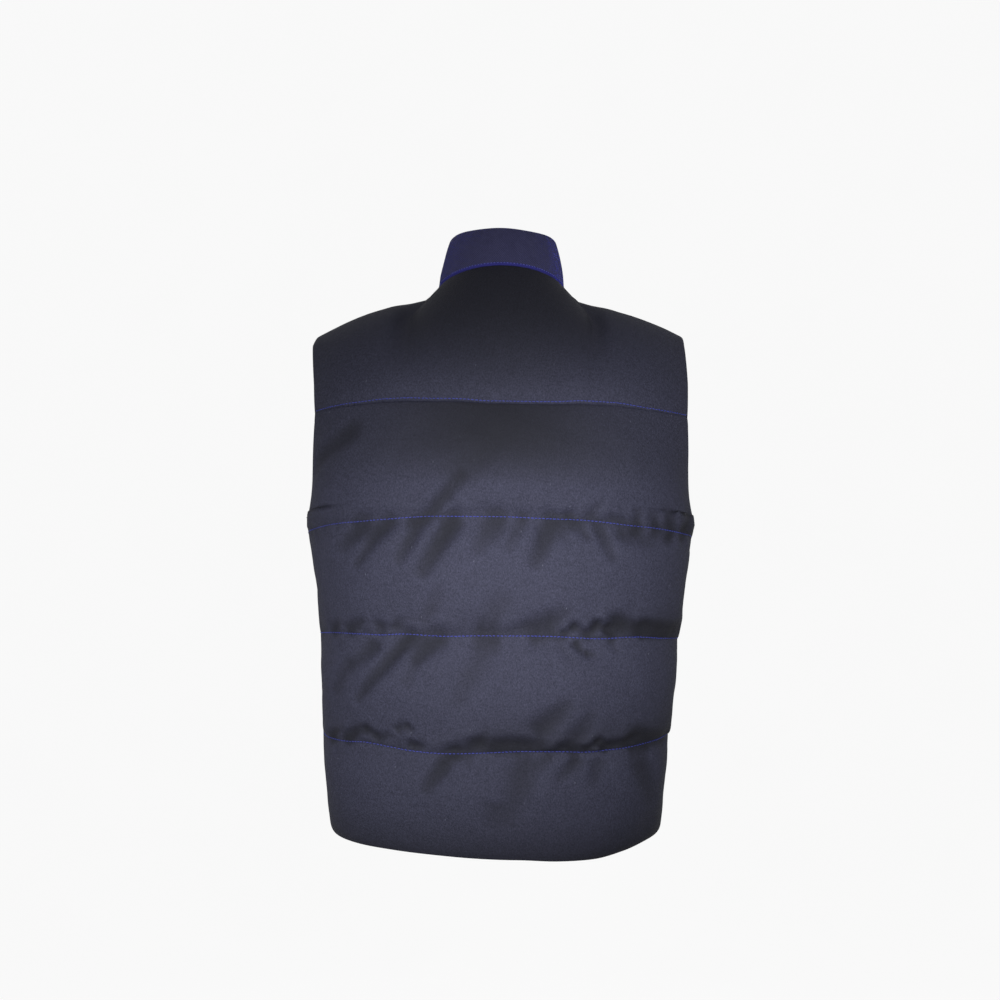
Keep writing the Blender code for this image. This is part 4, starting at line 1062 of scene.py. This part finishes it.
def woven_tape():
    """The zip's herringbone tape."""
    tape = Finish("woven_tape")
    across, along = tape.flat_place()
    zigzag = (across / 0.0016).using("PINGPONG", 1.0) * 0.0016
    rib = ((along + zigzag) * (2 * math.pi / 0.0009)).using("SINE") * 0.5 + 0.5
    fuzz = tape.noise(tape.place(), 900.0, detail=3.0)
    tone = (rib * 0.6 + fuzz * 0.5).above(0.2, 0.9)
    return tape.finished(
        Base_Color=tape.mix(tone, (0.006, 0.007, 0.012), (0.026, 0.028, 0.042)),
        Roughness=0.72 + fuzz * 0.2,
        Specular_IOR_Level=0.2,
        Normal=tape.bump(rib + fuzz * 0.4, 0.0002, 0.8),
    )


def gunmetal(name, colour, rough):
    """Cast and tumbled zip metal, brighter where hands have rubbed it."""
    metal = Finish(name)
    where = metal.place()
    tumbled = metal.noise(where, 900.0, detail=4.0, roughness=0.6)
    brushed = metal.noise(metal.place(stretch=(1.0, 1.0, 0.08)), 4200.0, detail=2.0)
    worn = metal.noise(where, 260.0, detail=3.0, distortion=0.6).above(0.50, 0.68)
    light = tuple(min(1.0, channel * 2.1) for channel in colour)
    return metal.finished(
        Base_Color=metal.mix(worn * 0.55 + brushed * 0.2, colour, light),
        Metallic=1.0,
        Roughness=rough + tumbled * 0.16 - worn * 0.08,
        Normal=metal.bump(tumbled * 0.6 + brushed * 0.5, 0.00006, 0.5),
    )


def studio_paper(glow):
    """A seamless pale paper."""
    paper = Finish("studio_paper")
    grain = paper.noise(paper.place(), 4.0, detail=2.0)
    paper.shader.inputs["Emission Strength"].default_value = glow
    return paper.finished(
        Base_Color=paper.mix(grain, (0.050,) * 3, (0.056,) * 3),
        Roughness=0.9 + grain * 0.05,
        Specular_IOR_Level=0.1,
        Emission_Color=paper.mix(grain, (0.994,) * 3, (1.0,) * 3),
    )


# ---------------------------------------------------------------- collar, stitches and zip

COLLAR_END_TURNS = (0.045, 0.03, 0.02, 0.012, 0.006, 0.002, 0.0)  # from an end, which is rounded
COLLAR_HALF_LENGTH, COLLAR_HEIGHT = 0.235, 0.055
METRES_PER_TURN = 0.105  # round the neck, near the collar's ends
COLLAR_TOP_RADIUS, COLLAR_END_RADIUS = 0.0024, 0.0022
COLLAR_SEAM_DIP, COLLAR_SEAM_RADIUS = 0.0009, 0.0021

PATH_POINTS = {BACK: 500, FRONT: 280}  # of a line that is stitched
STITCHES_OVER_YOKE_SEAM = 0.016  # as levels
STITCHES_START, STITCHES_END = 0.005, 0.004  # from a front's edge and from a side
COLLAR_BEAD, COLLAR_STITCH_PITCH = (0.0020, 0.0011, 0.0009), 0.0036

TAPE_PLACES = (0.0009, 0.0011, 0.0016, 0.0030, 0.0050, 0.0075, 0.0100, 0.0125, 0.0142, 0.0148, TAPE_EDGE_X)
TAPE_HEIGHTS = np.concatenate([np.linspace(0.015, 4.98, 150), np.linspace(5.0, ZIP_END, 40)])
TAPE_EDGE_RADIUS = 0.0004
TAPE_SINKS = 0.20  # the levels below the neckline in which a tape moves in to the collar's wall
TOOTH_X, TOOTH_WIDTH, TOOTH_THICKNESS = 0.0012, 0.0032, 0.0016
TOOTH_LIFT, TOOTH_BEVEL = 0.0003, 0.00022


def collar_grid(settings):
    """The collar's turns and heights, dense at its rounded edges."""
    end = 2 - share_at(FRONT, FRONT_EDGE_X, SHOULDER) / NECKLINES[FRONT].share
    count = int(COLLAR_HALF_LENGTH / settings.knit_grid)
    half = np.concatenate([np.linspace(0, end - 0.06, count), end - np.array(COLLAR_END_TURNS)])
    turns = np.concatenate([-half[:0:-1], half])
    return turns, graded(COLLAR_HEIGHT, settings.knit_grid * 0.35, settings.knit_grid), end


def collar_layers(settings):
    """The collar's outer and inner points, and how far round and up its cloth they are."""
    turns, heights, end = collar_grid(settings)
    middle, normal = collar_points(turns, heights), collar_normals(turns, heights)
    toward = neck_seam_normals(turns)[None]
    at_seam = (1 - ease(heights / 0.14))[:, None, None]
    normal = unit(normal * (1 - at_seam) + toward * at_seam)
    tall = np.linalg.norm(middle[-1] - middle[0], axis=-1)[None, :]
    from_top = (1 - heights)[:, None] * tall
    from_seam = heights[:, None] * tall
    from_front = (end - np.abs(turns))[None, :] * METRES_PER_TURN
    edge = rounding(from_top, COLLAR_TOP_RADIUS) * rounding(from_front, COLLAR_END_RADIUS)
    around = distances(middle[0])
    around = (around - around[-1] / 2)[None, :] + 0 * heights[:, None]
    slack = waves(71, around, from_seam, 0.024) * 0.0005 * np.sin(math.pi * heights)[:, None]
    slack = slack + waves(73, around, from_seam * 0.4, 0.050) * 0.0011 * heights[:, None]
    half = COLLAR_HALF_WALL * edge
    dip = COLLAR_SEAM_DIP * (1 - rounding(from_seam, COLLAR_SEAM_RADIUS))
    outer = middle + normal * (half - dip + slack)[..., None]
    inner = middle - normal * (half - slack)[..., None]
    return outer, inner, around, from_seam


def placed(point, *axes):
    """The matrix that puts a unit shape at a point, along and as long as three vectors."""
    turned = Matrix(axes).transposed().to_4x4()
    turned.translation = point
    return turned


def stitch_run(bm, points, normals, pitch, size, seed):
    """Stitches along a path of points: slender beads that sink in at their ends, a little askew."""
    random = np.random.default_rng(seed)
    long, wide, thick = size
    lengths = distances(points)
    at = pitch * 0.6
    while at < lengths[-1] - pitch * 0.5:
        ends = [
            Vector([np.interp(at + shift, lengths, points[:, axis]) for axis in range(3)])
            for shift in (-long / 2, long / 2)
        ]
        out = Vector([np.interp(at, lengths, normals[:, axis]) for axis in range(3)]).normalized()
        along = (ends[1] - ends[0]).normalized()
        along = (along + along.cross(out) * random.normal(0, 0.10)).normalized()
        centre = (ends[0] + ends[1]) / 2 + out * (thick * 0.10 + random.normal(0, 0.00006))
        scale = 1 + random.normal(0, 0.06)
        across = along.cross(out).normalized()
        turned = placed(centre, across * wide, out * thick, along * (long * scale))
        bmesh.ops.create_uvsphere(bm, u_segments=6, v_segments=5, radius=0.5, matrix=turned)
        at += pitch * (1 + random.normal(0, 0.05))


def shell_line(side, shares, level, settings, hand=0):
    """Points and outward directions along a line on the finished shell."""
    outer, inner, _, _ = panel_layers(side, shares[None, :], np.array([level]), settings, hand)
    return outer[0], unit(outer[0] - inner[0])


def finish_mesh(bm, name, material, smooth=True):
    """Links a bmesh as an object at the origin, in its finish."""
    bmesh.ops.recalc_face_normals(bm, faces=bm.faces)
    for face in bm.faces:
        face.smooth = smooth
    mesh = bpy.data.meshes.new(name)
    bm.to_mesh(mesh)
    bm.free()
    mesh.materials.append(material)
    return linked(name, mesh)


def zip_points(xs, height):
    """Places across the tapes' outer face at one height, and their outward directions."""
    hands = np.where(xs < 0, -1.0, 1.0)
    if height <= SHOULDER:
        shares = np.array([share_at(FRONT, x, height) if abs(x) > 1e-7 else 0.0 for x in xs])
        points = cloth_points(FRONT, shares, [height])[0]
        normals = cloth_directions(FRONT, shares, np.array([height]))[0][0]
    else:
        turns = -hands * (2 - np.arcsin(np.abs(xs) / NECK_HALF_WIDTH) * 2 / math.pi)
        points = collar_points(turns, [height - SHOULDER])[0]
        normals = collar_normals(turns, np.array([height - SHOULDER]))[0]
    blend = float(ease((height - SHOULDER + TAPE_SINKS) / TAPE_SINKS))
    inside = LINING_OFFSET + (COLLAR_HALF_WALL + ZIP_IN_COLLAR - LINING_OFFSET) * blend
    return points - normals * (inside + SEAM_GAP), normals


def tape_opening(height):
    """How far the slider holds each tape from the midline."""
    along = (height - PARTS_OVER[0]) / (PARTS_OVER[1] - PARTS_OVER[0])
    return (BRIDGE_WIDTH / 2 + SLIDER_CLEARANCE) * min(max(along, 0.0), 1.0)


def tape_piece(name, hand, material):
    """One woven tape, whose inner edge lies under its half of the chain."""
    across = np.array(TAPE_PLACES)
    outer, inner = [], []
    for height in TAPE_HEIGHTS:
        xs = np.maximum(across, tape_opening(height) + (across - across[0]) / 10)
        points, normals = zip_points(hand * xs, height)
        edge = rounding(np.minimum(across - across[0], TAPE_EDGE_X - across), TAPE_EDGE_RADIUS)[:, None]
        half = TAPE_THICKNESS / 2
        outer.append(points - normals * (half - half * (0.15 + 0.85 * edge)))
        inner.append(points - normals * (half + half * (0.15 + 0.85 * edge)))
    outer, inner = np.array(outer), np.array(inner)
    along = distances(outer[:, 0])[:, None] + 0 * across[None, :]
    piece = cloth_wall(name, outer, inner, across[None, :] + 0 * along, along, [material, material])
    return piece, float(along[-1, 0])


def bevelled(bm, edges, width, segments):
    bmesh.ops.bevel(
        bm, geom=edges, offset=width, segments=segments, profile=0.5, affect="EDGES", material=-1
    )


def chain_half(name, hand, material, settings):
    """The moulded teeth on one tape, which mesh with those of the other."""
    fine = np.linspace(CHAIN_STARTS, CHAIN_ENDS - 0.005, 900)
    path = np.array([zip_points(np.array([0.0]), height)[0][0] for height in fine])
    lengths = distances(path)
    pitch = settings.tooth_pitch
    count = int((lengths[-1] - pitch) / pitch)
    bm = bmesh.new()
    for i in range(count):
        at = (i + (0.25 if hand > 0 else 0.75)) * pitch
        height = float(np.interp(at, lengths, fine))
        x = hand * (TOOTH_X + tape_opening(height))
        point, normal = (Vector(value[0]) for value in zip_points(np.array([x]), height))
        above = Vector(zip_points(np.array([x]), height + 0.01)[0][0])
        up = (above - point).normalized()
        side = up.cross(normal).normalized()
        axes = (side * TOOTH_WIDTH, up * (pitch * 0.46), normal * TOOTH_THICKNESS)
        bmesh.ops.create_cube(bm, size=1.0, matrix=placed(point + normal * TOOTH_LIFT, *axes))
    bevelled(bm, bm.edges[:], TOOTH_BEVEL, 1)
    return finish_mesh(bm, name, material, smooth=False)


# ---------------------------------------------------------------- settings


def length_property(name, description, default):
    return FloatProperty(name=name, description=description, default=default, unit="LENGTH")


def share_property(name, description, default):
    return FloatProperty(name=name, description=description, default=default)


def colour_property(name, description, default):
    return FloatVectorProperty(
        name=name, description=description, subtype="COLOR", size=3, default=default, min=0.0, max=1.0
    )


class ClothSettings(bpy.types.PropertyGroup):
    """Sizes of the padded panels' cloth."""

    grid: length_property("Grid", "Mesh spacing of the shell", 0.0026)
    puff: share_property("Puff", "Share of the padding's full height", 1.0)
    fold_depth: share_property("Fold depth", "How many times their listed depth the folds are", 2.4)
    pucker_pitch: length_property("Pucker pitch", "Mean spacing of puckers on a line", 0.0170)
    pucker_depth: length_property("Pucker depth", "Depth of the deepest puckers", 0.0007)
    seam_dip: length_property("Seam dip", "How far a seam draws in", 0.0009)


class CollarSettings(bpy.types.PropertyGroup):
    """Sizes of the knitted collar."""

    knit_grid: length_property("Grid", "Mesh spacing of the collar", 0.0019)
    stitch_height: length_property("Stitch height", "Height of its stitches over the seam", 0.0026)


class StitchSettings(bpy.types.PropertyGroup):
    """Sizes of the decorative topstitching."""

    pitch: length_property("Pitch", "From stitch to stitch", 0.0040)
    length: length_property("Length", "Length of a stitch", 0.0033)
    width: length_property("Width", "Width of the thread", 0.00092)
    thickness: length_property("Thickness", "Height of a stitch", 0.0009)


class ZipSettings(bpy.types.PropertyGroup):
    """Sizes of the zip's chain."""

    tooth_pitch: length_property("Tooth pitch", "From tooth to tooth on one tape", 0.0022)


class ColourSettings(bpy.types.PropertyGroup):
    """Colours of the cloths, the thread and the metal."""

    cloth_dark: colour_property("Cloth, dark", "Dark fibres of the shell", (0.0095, 0.0096, 0.0170))
    cloth_light: colour_property("Cloth, light", "Light fibres of the shell", (0.032, 0.0326, 0.054))
    cloth_fleck: colour_property("Cloth, fleck", "Pale flecks in the shell", (0.060, 0.062, 0.090))
    lining: colour_property("Lining", "Lining", (0.022, 0.024, 0.060))
    knit_dark: colour_property("Knit, dark", "Ground of the collar", (0.022, 0.0215, 0.052))
    knit_light: colour_property("Knit, light", "Dots of the collar", (0.056, 0.056, 0.132))
    # painted sheen, where the collar turns in to its seam
    knit_seam_sheen: colour_property("Knit, edge", "Collar where it turns in", (0.028, 0.028, 0.200))
    thread: colour_property("Thread", "Topstitching", (0.011, 0.017, 0.150))
    thread_pale: colour_property("Thread, pale", "Light side of the thread", (0.024, 0.037, 0.270))
    thread_shine: colour_property("Thread, shine", "Light side of the pale thread", (0.085, 0.090, 0.420))
    metal: colour_property("Metal", "Zip metal", (0.10, 0.10, 0.11))


class StudioSettings(bpy.types.PropertyGroup):
    """The studio's light, paper and camera."""

    lamp_power: FloatProperty(
        name="Lamp power", description="Power of a lamp, before its share", default=92.5, unit="POWER"
    )
    world: share_property("Room light", "Brightness of the room", 0.44)
    paper_glow: share_property("Paper glow", "Light given off by the paper", 0.922)
    camera_distance: length_property("Camera distance", "From the midplane", 1.9)
    lens: FloatProperty(name="Lens", description="Focal length", default=61.07, unit="CAMERA")


class GiletSettings(bpy.types.PropertyGroup):
    """Everything that a user would change."""

    cloth: PointerProperty(type=ClothSettings)
    collar: PointerProperty(type=CollarSettings)
    stitches: PointerProperty(type=StitchSettings)
    zip: PointerProperty(type=ZipSettings)
    colours: PointerProperty(type=ColourSettings)
    studio: PointerProperty(type=StudioSettings)


# ---------------------------------------------------------------- operators


def made_once(name, make, *inputs):
    return bpy.data.materials.get(name) or make(*inputs)


def shell_finishes(settings):
    wool = made_once("brushed_wool", brushed_wool, settings.colours)
    return [wool, made_once("lining_satin", lining_satin, settings.colours)]


def sew_on(piece):
    """A piece that rides on the garment's body."""
    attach(piece, "garment")


def sew_in(piece, node):
    """A piece that takes a node's place on the garment."""
    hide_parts(node)
    sew_on(piece)


class GILET_OT_back(bpy.types.Operator):
    """Pad the back below the yoke and the yoke over it"""

    bl_idname = "gilet.make_back"
    bl_label = "Back and yoke"

    def execute(self, context):
        settings = context.scene.gilet
        finishes = shell_finishes(settings)
        body = back_panel("back_body_cloth", body_levels(settings.cloth), settings.cloth, finishes)
        yoke = back_panel("back_yoke_cloth", yoke_levels(settings.cloth), settings.cloth, finishes)
        for piece, node, fill in ((body, "back_body", 0.6), (yoke, "back_yoke", 0.35)):
            sew_in(piece, node)
        return {"FINISHED"}


class GILET_OT_fronts(bpy.types.Operator):
    """Pad the left and the right front"""

    bl_idname = "gilet.make_fronts"
    bl_label = "Fronts"

    def execute(self, context):
        settings = context.scene.gilet
        finishes = shell_finishes(settings)
        levels = np.concatenate([body_levels(settings.cloth)[:-1], yoke_levels(settings.cloth)])
        for name, hand in (("front_left", 1), ("front_right", -1)):
            piece = front_panel(f"{name}_cloth", hand, levels, settings.cloth, finishes)
            sew_in(piece, name)
        return {"FINISHED"}


class GILET_OT_collar(bpy.types.Operator):
    """Knit the stand collar"""

    bl_idname = "gilet.make_collar"
    bl_label = "Collar"

    def execute(self, context):
        settings = context.scene.gilet
        knit = made_once("pique_knit", pique_knit, settings.colours)
        outer, inner, around, tall = collar_layers(settings.collar)
        piece = cloth_wall("collar_knit_cloth", outer, inner, around, tall, [knit, knit])
        sew_in(piece, "collar")
        return {"FINISHED"}


class GILET_OT_zip(bpy.types.Operator):
    """Close the front with a zip and finish its metal"""

    bl_idname = "gilet.make_zip"
    bl_label = "Zip"

    def execute(self, context):
        settings = context.scene.gilet
        tape_cloth = made_once("woven_tape", woven_tape)
        cast = made_once("gunmetal", gunmetal, "gunmetal", settings.colours.metal, 0.30)
        teeth = made_once("tooth_metal", gunmetal, "tooth_metal", settings.colours.metal, 0.36)
        for name, hand in (("left", 1), ("right", -1)):
            tape, length = tape_piece(f"zip_tape_{name}_cloth", hand, tape_cloth)
            sew_in(tape, f"zip_tape_{name}")
            chain = chain_half(f"zip_teeth_{name}", hand, teeth, settings.zip)
            sew_on(chain)
        for node in ("zip_slider", "zip_box", "zip_pull_tab"):
            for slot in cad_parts[node].material_slots:
                slot.material = cast
        return {"FINISHED"}


class GILET_OT_stitches(bpy.types.Operator):
    """Topstitch the yoke seam, the quilting lines and the collar seam"""

    bl_idname = "gilet.make_stitches"
    bl_label = "Topstitching"

    def execute(self, context):
        settings = context.scene.gilet
        colours, size = settings.colours, settings.stitches
        thread = made_once("blue_thread", sewing_thread, "blue_thread", colours.thread, colours.thread_pale)
        bead = (size.length, size.width, size.thickness)
        names = {LOW_QUILT: "low", MID_QUILT: "middle", TOP_QUILT: "top", YOKE: "yoke"}
        for line, name in names.items():
            bm = bmesh.new()
            level = line + (STITCHES_OVER_YOKE_SEAM if line == YOKE else 0.0)
            ends = 1 - STITCHES_END / half_length(BACK, line)
            shares = np.linspace(-ends, ends, PATH_POINTS[BACK])
            path = shell_line(BACK, shares, level, settings.cloth)
            stitch_run(bm, *path, size.pitch, bead, 31 * line + 1)
            start = share_at(FRONT, FRONT_EDGE_X + STITCHES_START, level)
            for hand in (1, -1):
                shares = hand * np.linspace(start, ends, PATH_POINTS[FRONT])
                path = shell_line(FRONT, shares, float(line), settings.cloth, hand)
                stitch_run(bm, *path, size.pitch, bead, 31 * line + 2 + hand)
            sew_on(finish_mesh(bm, f"stitches_{name}", thread))
        self.collar_stitches(settings)
        return {"FINISHED"}

    def collar_stitches(self, settings):
        outer, inner, _, tall = collar_layers(settings.collar)
        bm = bmesh.new()
        row = int(np.searchsorted(tall[:, tall.shape[1] // 2], settings.collar.stitch_height))
        path, through = outer[row][6:-6], (outer[row] - inner[row])[6:-6]
        stitch_run(bm, path, unit(through), COLLAR_STITCH_PITCH, COLLAR_BEAD, 5)
        shades = (settings.colours.thread_pale, settings.colours.thread_shine)
        pale = made_once("pale_thread", sewing_thread, "pale_thread", *shades)
        sew_on(finish_mesh(bm, "stitches_collar", pale))


Lamp = namedtuple("Lamp", "name place target cone share")  # its cone's angle, its share of the power
LAMPS = (
    Lamp("key_light_right", (-0.24, 1.50, -0.16), (-0.10, 0.12, -0.225), 28, 1.30),
    Lamp("key_light_left", (0.45, 1.45, -0.16), (0.09, 0.12, -0.385), 31.5, 1.30),
    Lamp("front_light", (-0.20, -1.60, -0.10), (-0.02, -0.12, -0.30), 42, 1.5),
)
CAMERA_X, CAMERA_Z, CAMERA_TILT = 0.0011, -0.3494, 4.584
FLOOR_Z, FLOOR_RADIUS, WALL_HEIGHT, CORNER_WIDTH = -1.35, 4.0, 5.0, 0.9


class GILET_OT_studio(bpy.types.Operator):
    """Set the pale floor, the soft light and the camera"""

    bl_idname = "gilet.make_studio"
    bl_label = "Studio"

    def execute(self, context):
        settings = context.scene.gilet.studio
        scene = context.scene
        scene.view_settings.view_transform = "Standard"
        self.paper(settings)
        world = bpy.data.worlds.new("room")
        world.use_nodes = True
        room = world.node_tree.nodes["Background"]
        room.inputs["Color"].default_value = (1.0, 1.0, 1.0, 1.0)
        room.inputs["Strength"].default_value = settings.world
        scene.world = world
        for lamp in LAMPS:
            self.light(lamp, settings.lamp_power)
        lens = bpy.data.cameras.new("camera")
        lens.lens, lens.sensor_width = settings.lens, 36.0
        camera = linked("camera", lens)
        camera.location = (CAMERA_X, settings.camera_distance, CAMERA_Z)
        camera.rotation_euler = (math.radians(90 + CAMERA_TILT), 0, math.pi)
        scene.camera = camera
        return {"FINISHED"}

    def paper(self, settings):
        """A round floor that curves up into a wall; it lights nothing else."""
        bm = bmesh.new()
        floor = Matrix.Translation((0, 0, FLOOR_Z))
        bmesh.ops.create_circle(bm, cap_ends=True, segments=96, radius=FLOOR_RADIUS, matrix=floor)
        raised = bmesh.ops.extrude_edge_only(bm, edges=bm.edges[:])
        wall = [v for v in raised["geom"] if isinstance(v, bmesh.types.BMVert)]
        bmesh.ops.translate(bm, verts=wall, vec=(0, 0, WALL_HEIGHT))
        corner = [e for e in bm.edges if len(e.link_faces) == 2 and abs(e.calc_face_angle()) > 1]
        bevelled(bm, corner, CORNER_WIDTH, 14)
        finish = made_once("studio_paper", studio_paper, settings.paper_glow)
        made = finish_mesh(bm, "studio_floor", finish)
        made.visible_diffuse = made.visible_glossy = made.visible_shadow = False

    def light(self, lamp, power):
        """A soft pool of light, brightest at its middle."""
        light = bpy.data.lights.new(lamp.name, "SPOT")
        light.energy, light.shadow_soft_size = power * lamp.share, 0.16
        light.spot_size, light.spot_blend = math.radians(lamp.cone), 1.0
        made = linked(lamp.name, light)
        made.location = lamp.place
        toward = Vector(lamp.place) - Vector(lamp.target)
        made.rotation_euler = toward.to_track_quat("Z", "Y").to_euler()
        made.visible_camera = False


class GILET_PT_panel(bpy.types.Panel):
    """The gilet's sizes, colours and pieces"""

    bl_label = "Gilet"
    bl_idname = "GILET_PT_panel"
    bl_space_type = "VIEW_3D"
    bl_region_type = "UI"
    bl_category = "Gilet"

    def draw(self, context):
        settings = context.scene.gilet
        for operator in OPERATORS:
            self.layout.operator(operator.bl_idname)
        for part in ("cloth", "collar", "stitches", "zip", "colours", "studio"):
            group, box = getattr(settings, part), self.layout.box()
            for name in group.bl_rna.properties.keys():
                if name not in ("name", "rna_type"):
                    box.prop(group, name)


OPERATORS = (
    GILET_OT_back,
    GILET_OT_fronts,
    GILET_OT_collar,
    GILET_OT_zip,
    GILET_OT_stitches,
    GILET_OT_studio,
)
PARTS = (ClothSettings, CollarSettings, StitchSettings, ZipSettings, ColourSettings, StudioSettings)
CLASSES = (*PARTS, GiletSettings, *OPERATORS, GILET_PT_panel)


def register():
    for cls in CLASSES:
        bpy.utils.register_class(cls)
    bpy.types.Scene.gilet = PointerProperty(type=GiletSettings)


def unregister():
    del bpy.types.Scene.gilet
    for cls in reversed(CLASSES):
        bpy.utils.unregister_class(cls)


def main():
    register()
    bpy.ops.gilet.make_back()
    bpy.ops.gilet.make_fronts()
    bpy.ops.gilet.make_collar()
    bpy.ops.gilet.make_zip()
    bpy.ops.gilet.make_stitches()
    bpy.ops.gilet.make_studio()


if __name__ == "__main__":
    main()
